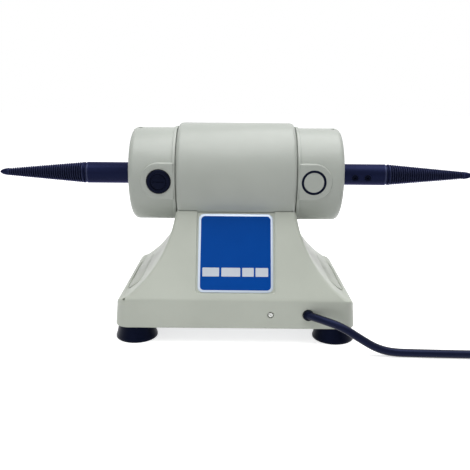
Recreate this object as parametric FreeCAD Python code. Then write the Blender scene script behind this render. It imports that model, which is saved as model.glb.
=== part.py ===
"""Dental polishing lathe: a double-ended motor in the saddle of a flared cast base.

Millimetres, +Z up, +X to the right along the spindles. The side with the nameplate and the cord faces -Y.
The origin lies on the bench, under the middle of the machine. Each piece goes to its own STEP file in parts.
"""
import FreeCAD
import Part
import math
import os

V = FreeCAD.Vector

# Machine
AXIS_Z = 120.0              # height of the spindle axis above the bench
FOOT_H = 12.5               # the feet lift the base by this much
X_AXIS = V(1, 0, 0)
Y_AXIS = V(0, 1, 0)
Z_AXIS = V(0, 0, 1)

# Motor
TUBE_R = 40.0
TUBE_WALL = 4.0
TUBE_HALF = 45.0
TUBE_EDGE_R = 3.5
FLANGE_R = 36.9             # band of each end bell beside the tube
FLANGE_END_X = 48.0
BELL_R = 36.2
BELL_END_X = 81.0
BELL_EDGE_R = 4.5
BELL_WALL = 4.0
SPIGOT_X = 41.5             # the bell's spigot reaches this far into the tube
BOLT_R_POS = 31.0           # distance of the through bolts from the motor axis
BEARING_X = 67.0            # inner side of the bearing seat
BEARING_W = 10.0
BEARING_OUT_R = 16.0
BEARING_BORE_R = 6.0
BALL_PITCH_R = 11.1
BALL_R = 2.4
BALLS = 7
RACE_GAP = 0.03             # running clearance between a ball and its groove

# Ports in the end bells, for the brushes on the left and blanked on the right
PORT_X = 57.7
PORT_TILT = 2.0             # degrees that the ports sit below the horizontal
PAD_R = 13.75
PAD_FACE = 37.0             # distance of the pad's flat face from the motor axis
PAD_DEPTH = 10.0            # from that face in to where the pad has merged with the cup
PORT_SEAT_R = 9.3
PORT_SEAT_DEPTH = 2.5
PORT_BORE_R = 7.2

# Rotor
SHAFT_R = 6.0
SHAFT_END_X = 108.0
ARMATURE_R = 27.5
ARMATURE_HALF = 28.0
SLOTS = 12
COMMUTATOR_R = 12.0
COMMUTATOR_X = (50.0, 65.0)
MAGNET_ARC = 126.0

# Spindles
SPINDLE_R = 8.1
SPINDLE_X = 81.8
SPINDLE_NECK_X = 119.5
TAPER_X = 120.4
TAPER_R = 8.4
TAPER_END_X = 182.8
TAPER_END_R = 2.95
TIP_X = 189.2
TIP_R = 0.7
SET_SCREW_R = 2.5
SET_SCREW_X = (93.8, 103.8)

# Base casting
BASE_HALF_W = 86.0
BASE_HALF_D = 61.0
SKIRT_TOP = 35.0
SADDLE_Y = 32.2             # the front face meets the tube here
SADDLE_Z = 96.2
FLANK_X = 131.0             # centre and radius of the concave flanks
FLANK_Z = 106.0
FLANK_R = 86.0
BASE_WALL = 5.0
SKIRT_CORNER_R = 7.0
LEDGE_R = 3.0               # rounding of the ledge over the skirt's sides
CREASE_R = 8.0              # rounding between the skirt and the leaning faces
SKIRT_FOOT_R = 1.4          # rounding of the skirt's lower edge
RIDGE_R = 2.5
RECESS_HALF_W = 29.3
RECESS_FOOT = 0.925         # where the recess ends, as a share of the way down the sloping face
RECESS_DEPTH = 1.4
FLANK_PAD_HALF_L = 38.0
FLANK_PAD_W = 15.0
FLANK_PAD_ANGLE = 232.0     # place of the pad on the flank's arc, in degrees about its centre
PLATE_T = 2.0

# Feet
FOOT_X = 75.7
FOOT_Y = 45.0
FOOT_RIM_R = 15.8
FOOT_TOP_R = 13.0

# Nameplate, centred on the sloping face
NAME_W = 56.0
NAME_H = 59.6
NAME_T = 0.6
NAME_ALONG = 0.476          # its middle, as a share of the way down the face

# Controls on the far side, given along that face
KNOB_X = -13.0
KNOB_ALONG = 0.42
KNOB_R = 14.0
KNOB_H = 14.0
SWITCH_X = 15.5
SWITCH_W = 13.0
SWITCH_H = 19.5
ROCKER_TILT = 10.0
ROCKER_PIN = -1.6           # height of the rocker's tilt axis above the panel
PIN_R = 0.9

# Cord
CORD_R = 3.0
CORD_HOLE = V(54.1, -BASE_HALF_D, 23.7)
CORD_HOLE_R = 4.3
NOSE_L = 2.4                # the strain relief's nose, outside the skirt
RELIEF_TAIL_L = 14.0        # its tapered tail, inside
SKIRT_SCREW = V(26.3, -BASE_HALF_D, 23.5)
COIL_CENTRE = V(249.0, -33.7, 0)
COIL_PITCH = 6.7            # from one turn to the next
COIL_OUT_R = 48.0           # first half turn of the lower layer
COIL_LOW_HALVES = 8         # half turns that spiral in on the floor
COIL_TOP_HALVES = 6         # half turns that spiral out on top of them
COIL_TAIL_R = 53.0          # last half turn, out to the plug
COIL_LIFT = 0.7             # the tie under the coil lifts it by this much
LAYER_RISE = 6.7
COIL_STRAIGHT = 6.5
PLUG_Z = 10.0               # the plug lies on its side, with the cord at mid height
PLUG_TAIL_L = 18.0
PLUG_L = 26.0
PLUG_W = 25.0
PLUG_T = 19.6
BLADE_L = 17.5
BLADE_W = 6.3
BLADE_T = 1.5
BLADE_GAP = 12.7            # between the middles of the two blades
EARTH_PIN_R = 2.4
EARTH_PIN_L = 20.0
TIE_W = 8.0
TIE_T = 0.6

# Free stretch of the cord, from inside the bushing to the coil
CORD_ROUTE = [
    V(54.6, -61.8, 23.7),
    V(63.8, -69.6, 23.4),
    V(76.6, -75.2, 20.7),
    V(90.8, -77.8, 12.2),
    V(101.6, -78.6, 5.9),
    V(113.2, -79.2, CORD_R),
    V(129.0, -80.0, CORD_R),
    V(150.0, -80.8, CORD_R),
    V(173.0, -81.35, CORD_R),
    V(197.0, -81.6, CORD_R),
    V(220.0, -81.68, CORD_R + 0.15),
    COIL_CENTRE + V(-COIL_STRAIGHT, -COIL_OUT_R, CORD_R + COIL_LIFT),
]

FACE_RUN = BASE_HALF_D - SADDLE_Y
FACE_RISE = SADDLE_Z - SKIRT_TOP
FACE_LEN = math.hypot(FACE_RUN, FACE_RISE)

nodes = {}


def keep(name, *solids):
    """Store one node. Several solids stay apart in it, as a group of the same piece."""
    flat = []
    for s in solids:
        flat.extend(s.Solids)
    nodes[name] = flat[0] if len(flat) == 1 else Part.makeCompound(flat)


def mirrored(shape, normal):
    """The shape's mirror image in a plane through the origin, as an outward-facing solid."""
    return shape.mirror(V(0, 0, 0), normal)


def cylinder(r, h, base, along=Z_AXIS):
    return Part.makeCylinder(r, h, base, along)


def turned(profile, axis_z=AXIS_Z):
    """Revolve a closed outline of (x, radius) points about the motor axis."""
    pts = [V(x, 0, axis_z + r) for x, r in profile]
    face = Part.Face(Part.makePolygon(pts + pts[:1]))
    return face.revolve(V(0, 0, axis_z), X_AXIS, 360)


def x_ring(outer, inner, x0, x1):
    """A plain ring about the motor axis between two planes."""
    lo, hi = min(x0, x1), max(x0, x1)
    body = cylinder(outer, hi - lo, V(lo, 0, AXIS_Z), X_AXIS)
    if inner:
        body = body.cut(cylinder(inner, hi - lo + 2, V(lo - 1, 0, AXIS_Z), X_AXIS))
    return body


def fillet_where(shape, radius, chosen):
    edges = [e for e in shape.Edges if chosen(e)]
    return shape.makeFillet(radius, edges) if edges else shape


def circle_at(edge, x, r):
    """True for a full round edge of that radius at that station of the motor axis."""
    c = edge.Curve
    if not isinstance(c, Part.Circle) or abs(c.Radius - r) > 0.01:
        return False
    return abs(c.Center.x - x) < 0.01 and abs(c.Center.z - AXIS_Z) < 0.01


def face_frame(side, along, x=0.0, proud=0.0):
    """Placement on a sloping face of the base: local x runs along +X, y up the face and z out of it.

    side is -1 for the nameplate's face and 1 for the far one. along is the share of the way down.
    """
    y = side * (SADDLE_Y + FACE_RUN * along)
    z = SADDLE_Z - FACE_RISE * along
    out = V(0, side * FACE_RISE, FACE_RUN).normalize()
    up = V(0, -side * FACE_RUN, FACE_RISE).normalize()
    # Seen from outside the far face, local x runs towards -X, which keeps the frame right-handed
    right = up.cross(out)
    m = FreeCAD.Matrix(right.x, up.x, out.x, x, right.y, up.y, out.y, y, right.z, up.z, out.z, z, 0, 0, 0, 1)
    place = FreeCAD.Placement(m)
    place.Base = place.Base + out * proud
    return place


def placed(shape, place):
    done = shape.copy()
    done.Placement = place.multiply(done.Placement)
    return done


def rounded_plate(w, h, t, r):
    """A plate centred on the origin, lying on z = 0, with rounded corners."""
    plate = Part.makeBox(w, h, t, V(-w / 2, -h / 2, 0))
    return fillet_where(plate, r, lambda e: abs(e.tangentAt(e.FirstParameter).z) > 0.99)


def closed_outline(edges, normal):
    """A face bounded by the right half of an outline, from bottom to top, and its mirror image."""
    def flip(p):
        return p - normal * (2 * p.dot(normal))
    low = edges[0].Vertexes[0].Point
    high = edges[-1].Vertexes[-1].Point
    other = [e.mirror(V(0, 0, 0), normal) for e in reversed(edges)]
    across = [Part.makeLine(high, flip(high))]
    return Part.Face(Part.Wire(edges + across + other + [Part.makeLine(flip(low), low)]))


def rounded_corner(a, b, c, r):
    """The edges from a by b to c, with an arc of radius r at b."""
    u = (a - b).normalize()
    w = (c - b).normalize()
    half = u.getAngle(w) / 2
    p = b + u * (r / math.tan(half))
    q = b + w * (r / math.tan(half))
    middle = b + (u + w).normalize() * (r / math.sin(half) - r)
    return [Part.makeLine(a, p), Part.Arc(p, middle, q).toShape(), Part.makeLine(q, c)]


def flank_x(z, flank_r=FLANK_R):
    """Half width of the pedestal at a height, on the concave flank."""
    return FLANK_X - math.sqrt(flank_r ** 2 - (FLANK_Z - z) ** 2)


def flank_outline(w, flank_r, low, high):
    """Front outline of the pedestal: a skirt, a small ledge and a concave arc up to the saddle."""
    mid_z = 0.5 * (high + SKIRT_TOP) - 8
    foot, mid, top = (V(flank_x(z, flank_r), 0, z) for z in (SKIRT_TOP, mid_z, high))
    edges = [
        Part.makeLine(V(w, 0, low), V(w, 0, SKIRT_TOP)),
        Part.makeLine(V(w, 0, SKIRT_TOP), foot),
        Part.Arc(foot, mid, top).toShape(),
    ]
    return closed_outline(edges, X_AXIS)


def side_outline(d, inset, low):
    """Side outline of the pedestal: a vertical skirt and faces that lean in to the saddle."""
    lean = inset * FACE_LEN / FACE_RISE
    top_y = SADDLE_Y - lean
    pts = [V(0, -d, low), V(0, -d, SKIRT_TOP), V(0, -top_y, SADDLE_Z), V(0, top_y, SADDLE_Z),
           V(0, d, SKIRT_TOP), V(0, d, low)]
    return Part.Face(Part.makePolygon(pts + pts[:1]))


def pedestal(inset, low, top_z):
    """The pedestal's solid form, or the same form set in by a wall thickness."""
    w = BASE_HALF_W - inset
    d = BASE_HALF_D - inset
    front = flank_outline(w, FLANK_R + inset, low, top_z)
    front.translate(V(0, -100, 0))
    side = side_outline(d, inset, low)
    side.translate(V(-120, 0, 0))
    return front.extrude(V(0, 200, 0)).common(side.extrude(V(240, 0, 0)))


def soft_skirt():
    """A form that rounds the ledge over the skirt's sides and the crease over its front and back."""
    low, high = FOOT_H - 1, SADDLE_Z + 2
    ledge = V(flank_x(SKIRT_TOP), 0, SKIRT_TOP)
    edges = rounded_corner(V(BASE_HALF_W, 0, low), V(BASE_HALF_W, 0, SKIRT_TOP), ledge, LEDGE_R)
    edges.append(Part.makeLine(ledge, V(ledge.x, 0, high)))
    front = closed_outline(edges, X_AXIS)
    front.translate(V(0, -100, 0))
    top_y = SADDLE_Y - (high - SADDLE_Z) * FACE_RUN / FACE_RISE
    edges = rounded_corner(V(0, BASE_HALF_D, low), V(0, BASE_HALF_D, SKIRT_TOP), V(0, top_y, high), CREASE_R)
    side = closed_outline(edges, Y_AXIS)
    side.translate(V(-120, 0, 0))
    return front.extrude(V(0, 200, 0)).common(side.extrude(V(240, 0, 0)))


def flank_pad():
    """Flat pad with round ends, raised on the left flank and set in a narrow shadow gap."""
    a = math.radians(FLANK_PAD_ANGLE)
    on_arc = V(-(FLANK_X + FLANK_R * math.cos(a)), 0, FLANK_Z + FLANK_R * math.sin(a))
    out = V(math.cos(a), 0, -math.sin(a))
    half = FLANK_PAD_HALF_L - FLANK_PAD_W / 2
    along = V(out.z, 0, -out.x)
    m = FreeCAD.Matrix(along.x, 0, out.x, on_arc.x, 0, 1, 0, 0, along.z, 0, out.z, on_arc.z, 0, 0, 0, 1)
    place = FreeCAD.Placement(m)

    def obround(r, z0, z1):
        box = Part.makeBox(2 * r, 2 * half, z1 - z0, V(-r, -half, z0))
        ends = [cylinder(r, z1 - z0, V(0, s * half, z0)) for s in (-1, 1)]
        return placed(box.fuse(ends).removeSplitter(), place)
    r = FLANK_PAD_W / 2
    return obround(r, -3, 1.6), obround(r + 1.3, -0.9, 4)


def base_casting():
    body = pedestal(0, FOOT_H, SADDLE_Z)
    saddle = cylinder(TUBE_R + 0.02, 200, V(-100, 0, AXIS_Z), X_AXIS)

    def ridge(e):
        c = e.CenterOfMass
        return not isinstance(e.Curve, Part.Line) and SKIRT_TOP < c.z < SADDLE_Z
    body = fillet_where(body, RIDGE_R, ridge)
    plan = rounded_plate(2 * BASE_HALF_W, 2 * BASE_HALF_D, SADDLE_Z, SKIRT_CORNER_R)
    body = body.common(plan).common(soft_skirt())

    def skirt_foot(e):
        return max(abs(e.BoundBox.ZMin - FOOT_H), abs(e.BoundBox.ZMax - FOOT_H)) < 0.01
    body = fillet_where(body, SKIRT_FOOT_R, skirt_foot)
    for s in (-1, 1):
        pad, gap = flank_pad()
        if s > 0:
            pad = mirrored(pad, X_AXIS)
            gap = mirrored(gap, X_AXIS)
        body = body.cut(gap).fuse(pad)
    for side in (-1, 1):
        # Recess for the nameplate and, on the far side, the controls; it runs out under the tube
        length = FACE_LEN * RECESS_FOOT + 20
        pocket = rounded_plate(2 * RECESS_HALF_W, length, 6, 2.5)
        pocket.translate(V(0, 20 + FACE_LEN * -RECESS_FOOT + length / 2 - 20, -RECESS_DEPTH))
        body = body.cut(placed(pocket, face_frame(side, 0.0)))
    hollow = pedestal(BASE_WALL, FOOT_H - 1, SADDLE_Z)
    hollow = hollow.cut(cylinder(TUBE_R + BASE_WALL, 200, V(-100, 0, AXIS_Z), X_AXIS))
    body = body.cut(hollow).cut(saddle)
    for x in (-FOOT_X, FOOT_X):
        for y in (-FOOT_Y, FOOT_Y):
            boss = cylinder(8.0, SKIRT_TOP - 3 - FOOT_H - PLATE_T, V(x, y, FOOT_H + PLATE_T))
            body = body.fuse(boss.common(pedestal(1.0, FOOT_H, SADDLE_Z)))
    for x in (-FOOT_X, FOOT_X):
        for y in (-FOOT_Y, FOOT_Y):
            body = body.cut(cylinder(2.05, 16, V(x, y, FOOT_H)))
    body = body.cut(cylinder(CORD_HOLE_R, 12, CORD_HOLE - Y_AXIS, Y_AXIS))
    body = body.cut(cylinder(1.3, 12, SKIRT_SCREW - Y_AXIS, Y_AXIS))
    body = body.cut(cylinder(1.95, 1.6, SKIRT_SCREW - Y_AXIS, Y_AXIS))
    for x in (-26, 26):
        body = body.cut(cylinder(2.6, 20, V(x, 0, AXIS_Z - TUBE_R - 12)))
    body = body.cut(cylinder(5.0, 20, V(-8, 0, AXIS_Z - TUBE_R - 12)))
    knob_hole = cylinder(3.6, 20, V(0, 0, -12))
    body = body.cut(placed(knob_hole, face_frame(1, KNOB_ALONG, KNOB_X)))
    slot = Part.makeBox(SWITCH_W, SWITCH_H, 20, V(-SWITCH_W / 2, -SWITCH_H / 2, -12))
    body = body.cut(placed(slot, face_frame(1, KNOB_ALONG, SWITCH_X)))
    return body


def bottom_plate():
    w = BASE_HALF_W - BASE_WALL - 0.4
    d = BASE_HALF_D - BASE_WALL - 0.4
    plate = rounded_plate(2 * w, 2 * d, PLATE_T, 3.0)
    plate.translate(V(0, 0, FOOT_H))
    for x in (-FOOT_X, FOOT_X):
        for y in (-FOOT_Y, FOOT_Y):
            plate = plate.cut(cylinder(2.5, 6, V(x, y, FOOT_H - 2)))
    return plate


def foot(x, y):
    """Rubber suction foot: a cone with a thin rim and a shallow hollow underneath."""
    outline = [(2.5, 6.0), (5.5, 6.0), (5.5, 3.2), (13.2, 0.0), (FOOT_RIM_R, 0.0), (FOOT_RIM_R, 1.9),
               (14.6, 3.0), (FOOT_TOP_R, FOOT_H), (2.5, FOOT_H)]
    pts = [V(r, 0, z) for r, z in outline]
    solid = Part.Face(Part.makePolygon(pts + pts[:1])).revolve(V(0, 0, 0), Z_AXIS, 360)
    solid.translate(V(x, y, 0))
    return solid


def foot_screw(x, y):
    head = cylinder(4.6, 2.4, V(x, y, 3.5))
    shank = cylinder(1.95, 20, V(x, y, 5.9))
    return head.fuse(shank)


def motor_tube():
    tube = x_ring(TUBE_R, TUBE_R - TUBE_WALL, -TUBE_HALF, TUBE_HALF)
    tube = fillet_where(tube, TUBE_EDGE_R, lambda e: circle_at(e, -TUBE_HALF, TUBE_R))
    tube = fillet_where(tube, TUBE_EDGE_R, lambda e: circle_at(e, TUBE_HALF, TUBE_R))
    for x in (-26, 26):
        tube = tube.cut(cylinder(2.1, 8, V(x, 0, AXIS_Z - TUBE_R - 1)))
    return tube.cut(cylinder(4.0, 8, V(-8, 0, AXIS_Z - TUBE_R - 1)))


def magnet(side):
    ring = x_ring(TUBE_R - TUBE_WALL - 0.02, ARMATURE_R + 1.0, -32, 32)
    half = math.radians(MAGNET_ARC / 2)
    far = 60.0
    reach, rise = side * far * math.cos(half), far * math.sin(half)
    wedge = [V(-40, 0, AXIS_Z), V(-40, reach, AXIS_Z + rise), V(-40, side * far * 1.6, AXIS_Z),
             V(-40, reach, AXIS_Z - rise)]
    sector = Part.Face(Part.makePolygon(wedge + wedge[:1])).extrude(V(80, 0, 0))
    return ring.common(sector)


def port_turn(shape, front):
    """Turn a piece made at 3 o'clock on the -Y side to its tilted place, or to the opposite side."""
    done = shape.copy()
    done.rotate(V(0, 0, AXIS_Z), X_AXIS, PORT_TILT + (0 if front else 180))
    return done


def port_cylinder(r, y0, y1, x):
    """A round piece of a port, between two distances from the motor axis, on the -Y side."""
    return cylinder(r, y1 - y0, V(x, -y1, AXIS_Z), Y_AXIS)


def port_pad(x_sign):
    """The flat D-shaped pad round a port: a half disc that runs out into the flange band."""
    x = x_sign * PORT_X
    root = PAD_FACE - PAD_DEPTH
    disc = port_cylinder(PAD_R, root, PAD_FACE, x)
    corner = V(FLANGE_END_X - 1, -PAD_FACE, AXIS_Z - PAD_R)
    run = Part.makeBox(PORT_X - corner.x, PAD_DEPTH, 2 * PAD_R, corner)
    if x_sign < 0:
        run = mirrored(run, X_AXIS)
    beside = x_ring(TUBE_R, 0, x_sign * (FLANGE_END_X - 1), x_sign * BELL_END_X)
    return disc.fuse(run).common(beside).removeSplitter()


def end_bell(s):
    """Cast end cover, for the side given by the sign: cup, bearing housing, flange band, spigot and ports."""
    cup = [(SPIGOT_X, TUBE_R - TUBE_WALL - 0.05), (TUBE_HALF + 0.05, TUBE_R - TUBE_WALL - 0.05),
           (TUBE_HALF + 0.05, FLANGE_R), (FLANGE_END_X, FLANGE_R), (FLANGE_END_X, BELL_R),
           (BELL_END_X, BELL_R), (BELL_END_X, SHAFT_R + 1.0), (BEARING_X + BEARING_W, SHAFT_R + 1.0),
           (BEARING_X + BEARING_W, BEARING_OUT_R + 0.02), (BEARING_X, BEARING_OUT_R + 0.02),
           (BEARING_X, BEARING_OUT_R + 3.5), (BEARING_X + BEARING_W, BEARING_OUT_R + 3.5),
           (BEARING_X + BEARING_W, BELL_R - BELL_WALL), (SPIGOT_X, BELL_R - BELL_WALL)]
    bell = turned([(s * x, r) for x, r in cup])
    bell = fillet_where(bell, BELL_EDGE_R, lambda e: circle_at(e, s * BELL_END_X, BELL_R))
    for front in (True, False):
        bell = bell.fuse(port_turn(port_pad(s), front))
    # The pads stand out of the cup only, so what they add inside it is cleared again
    inside_end = BEARING_X + BEARING_W
    bell = bell.cut(x_ring(BELL_R - BELL_WALL, BEARING_OUT_R + 3.5, s * SPIGOT_X, s * inside_end))
    bell = bell.cut(x_ring(BELL_R - BELL_WALL, 0, s * (SPIGOT_X - 1), s * BEARING_X))
    for front in (True, False):
        bell = bell.cut(port_turn(port_cylinder(PORT_BORE_R, 20, 45, s * PORT_X), front))
        seat = port_cylinder(PORT_SEAT_R, PAD_FACE - PORT_SEAT_DEPTH, 45, s * PORT_X)
        bell = bell.cut(port_turn(seat, front))
    for up in (-1, 1):
        z = AXIS_Z + up * BOLT_R_POS
        x0 = min(s * (SPIGOT_X - 1), s * 90)
        bell = bell.cut(cylinder(2.1, 90 - SPIGOT_X + 1, V(x0, 0, z), X_AXIS))
        x0 = min(s * (BELL_END_X - 3.0), s * 90)
        bell = bell.cut(cylinder(4.4, 90 - BELL_END_X + 3.0, V(x0, 0, z), X_AXIS))
    return bell


def through_bolts():
    solids = []
    for up in (-1, 1):
        z = AXIS_Z + up * BOLT_R_POS
        shank = cylinder(1.95, 2 * BELL_END_X - 7.5, V(-BELL_END_X + 3.0, 0, z), X_AXIS)
        head = cylinder(3.6, 2.6, V(-BELL_END_X + 0.4, 0, z), X_AXIS)
        solids.append(head.fuse(shank))
    return solids


def through_bolt_nuts():
    """Hexagon nuts in the pockets of the right bell, clear of the bolts' thread by a hair."""
    solids = []
    for up in (-1, 1):
        z = AXIS_Z + up * BOLT_R_POS
        ring = [V(BELL_END_X - 3.0, 4.0 * math.cos(k * math.pi / 3), z + 4.0 * math.sin(k * math.pi / 3))
                for k in range(6)]
        nut = Part.Face(Part.makePolygon(ring + ring[:1])).extrude(V(2.6, 0, 0))
        solids.append(nut.cut(cylinder(2.0, 4, V(BELL_END_X - 4, 0, z), X_AXIS)))
    return solids


def race(outer, inner, x0, groove_r):
    """A bearing race: a ring with a round groove for the balls."""
    ring = x_ring(outer, inner, x0, x0 + BEARING_W)
    groove = Part.makeTorus(BALL_PITCH_R, groove_r, V(x0 + BEARING_W / 2, 0, AXIS_Z), X_AXIS)
    return ring.cut(groove)


def ball_cage(x0):
    """The balls and the pressed cage that spaces them, joined."""
    mid = x0 + BEARING_W / 2
    cage = x_ring(BALL_PITCH_R + 0.6, BALL_PITCH_R - 0.6, mid - 1.4, mid + 1.4)
    balls = []
    for k in range(BALLS):
        a = 2 * math.pi * k / BALLS
        centre = V(mid, BALL_PITCH_R * math.cos(a), AXIS_Z + BALL_PITCH_R * math.sin(a))
        balls.append(Part.makeSphere(BALL_R, centre))
    return cage.fuse(balls)


def bearing(name, x0):
    keep(name + "_outer_race", race(BEARING_OUT_R, BALL_PITCH_R + 1.5, x0, BALL_R + RACE_GAP))
    keep(name + "_inner_race", race(BALL_PITCH_R - 1.5, BEARING_BORE_R + 0.01, x0, BALL_R + RACE_GAP))
    keep(name + "_ball_cage", ball_cage(x0))


def brush_set(name, front):
    """Insulated holder, carbon brush, spring and screw cap, in line behind a port of the left bell."""
    x = -PORT_X
    holder = port_cylinder(PORT_BORE_R - 0.05, 14.0, 33.0, x)
    holder = holder.cut(Part.makeBox(6.2, 30, 8.2, V(x - 3.1, -40, AXIS_Z - 4.1)))
    keep("brush_holder_" + name, port_turn(holder, front))
    brush = Part.makeBox(6.0, 14.0, 8.0, V(x - 3, -26, AXIS_Z - 4))
    brush = brush.cut(cylinder(COMMUTATOR_R + 0.05, 20, V(x - 10, 0, AXIS_Z), X_AXIS))
    keep("carbon_brush_" + name, port_turn(brush, front))
    spring = port_cylinder(2.9, 26.05, 32.9, x).cut(port_cylinder(2.2, 25, 35, x))
    keep("brush_spring_" + name, port_turn(spring, front))
    cap = port_cylinder(8.95, PAD_FACE - PORT_SEAT_DEPTH + 0.05, PAD_FACE + 1.3, x)
    cap = cap.fuse(port_cylinder(PORT_BORE_R - 0.3, 33.1, PAD_FACE, x))
    cap = cap.cut(port_cylinder(5.7, PAD_FACE + 0.5, PAD_FACE + 3, x))
    cap = cap.cut(Part.makeBox(12, 1.2, 1.6, V(x - 6, -PAD_FACE - 0.6, AXIS_Z - 0.8)))
    keep("brush_cap_" + name, port_turn(cap, front))


def port_blank(name, front):
    """Painted plug and the dark ring round it, in a port of the right bell."""
    x = PORT_X
    floor = PAD_FACE - PORT_SEAT_DEPTH + 0.05
    plug = port_cylinder(7.4, floor, PAD_FACE + 0.1, x).fuse(port_cylinder(PORT_BORE_R - 0.1, 31.5, floor, x))
    ring = port_cylinder(PORT_SEAT_R - 0.05, floor, PAD_FACE - 0.3, x).cut(port_cylinder(7.45, 30, 40, x))
    keep("port_plug_" + name, port_turn(plug, front))
    keep("port_ring_" + name, port_turn(ring, front))


def armature_core():
    core = x_ring(ARMATURE_R, SHAFT_R + 0.01, -ARMATURE_HALF, ARMATURE_HALF)
    slots = []
    for k in range(SLOTS):
        slot = Part.makeBox(2 * ARMATURE_HALF + 2, 12.0, 3.0, V(-ARMATURE_HALF - 1, 17.5, AXIS_Z - 1.5))
        slot.rotate(V(0, 0, AXIS_Z), X_AXIS, 360.0 * k / SLOTS)
        slots.append(slot)
    return core.cut(slots)


def windings():
    """Copper end turns, as two collars beside the core joined by the bars in its slots."""
    face = ARMATURE_HALF + 0.05
    left = turned([(-face, 10), (-face, 24.5), (-36, 25), (-42, 20), (-44, 10)])
    right = turned([(face, 10), (face, 24.5), (36, 25), (40, 20), (41, 10)])
    bars = []
    for k in range(SLOTS):
        bar = Part.makeBox(2 * ARMATURE_HALF + 4, 6.0, 2.8, V(-ARMATURE_HALF - 2, 17.7, AXIS_Z - 1.4))
        bar.rotate(V(0, 0, AXIS_Z), X_AXIS, 360.0 * k / SLOTS)
        bars.append(bar)
    return left.fuse([right] + bars)


def commutator():
    x0, x1 = COMMUTATOR_X
    body = x_ring(COMMUTATOR_R, SHAFT_R + 0.01, -x1, -x0)
    cuts = []
    for k in range(SLOTS):
        cut = Part.makeBox(x1 - x0 + 2, 3.0, 0.7, V(-x1 - 1, COMMUTATOR_R - 1.2, AXIS_Z - 0.35))
        cut.rotate(V(0, 0, AXIS_Z), X_AXIS, 360.0 * (k + 0.5) / SLOTS)
        cuts.append(cut)
    return body.cut(cuts)


def shaft():
    rod = x_ring(SHAFT_R, 0, -SHAFT_END_X, SHAFT_END_X)
    for s in (-1, 1):
        rod = fillet_where(rod, 0.8, lambda e: circle_at(e, s * SHAFT_END_X, SHAFT_R))
    return rod


def spindle(s, screw_angle):
    """Adapter and long tapered nose in one piece, bored for the shaft and drilled for its set screws."""
    collar_end = SPINDLE_X + 4
    groove_r = SPINDLE_R - 0.8
    outline = [(SPINDLE_X, SHAFT_R + 0.03), (SPINDLE_X, SPINDLE_R + 0.15), (collar_end, SPINDLE_R + 0.15),
               (collar_end, SPINDLE_R), (SPINDLE_NECK_X - 0.8, SPINDLE_R), (SPINDLE_NECK_X, groove_r),
               (TAPER_X - 0.4, groove_r), (TAPER_X, TAPER_R - 0.4), (TAPER_X + 0.6, TAPER_R),
               (TAPER_END_X, TAPER_END_R), (TAPER_END_X + 0.5, TAPER_END_R - 0.4), (TIP_X - 0.5, TIP_R),
               (TIP_X, TIP_R - 0.45), (TIP_X, 0), (SHAFT_END_X + 3, 0), (SHAFT_END_X + 1, SHAFT_R + 0.03)]
    body = turned([(s * x, r) for x, r in outline])
    for x in SET_SCREW_X:
        body = body.cut(screw_cylinder(s * x, screw_angle, SET_SCREW_R, 4.0, 12.0))
    return body


def screw_cylinder(x, angle, r, r0, r1):
    """A cylinder square to the motor axis, between two distances from it. Angle 0 points to -Y, 90 down."""
    a = math.radians(angle)
    out = V(0, -math.cos(a), -math.sin(a))
    return cylinder(r, r1 - r0, V(x, 0, AXIS_Z) + out * r0, out)


def set_screws(s, angle):
    solids = []
    for x in SET_SCREW_X:
        body = screw_cylinder(s * x, angle, SET_SCREW_R - 0.05, SHAFT_R + 0.05, SPINDLE_R - 0.2)
        solids.append(body.cut(screw_cylinder(s * x, angle, 1.35, SPINDLE_R - 1.4, 12)))
    return solids


def nameplate():
    plate = rounded_plate(NAME_W, NAME_H, NAME_T, 4.2)
    return placed(plate, face_frame(-1, NAME_ALONG, 0, -RECESS_DEPTH + 0.02))


def mount_screws():
    solids = []
    for x in (-26, 26):
        z = AXIS_Z - TUBE_R - BASE_WALL
        head = cylinder(4.5, 3.5, V(x, 0, z - 3.6))
        solids.append(head.fuse(cylinder(2.0, BASE_WALL + TUBE_WALL - 0.4, V(x, 0, z - 0.2))))
    return solids


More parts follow.
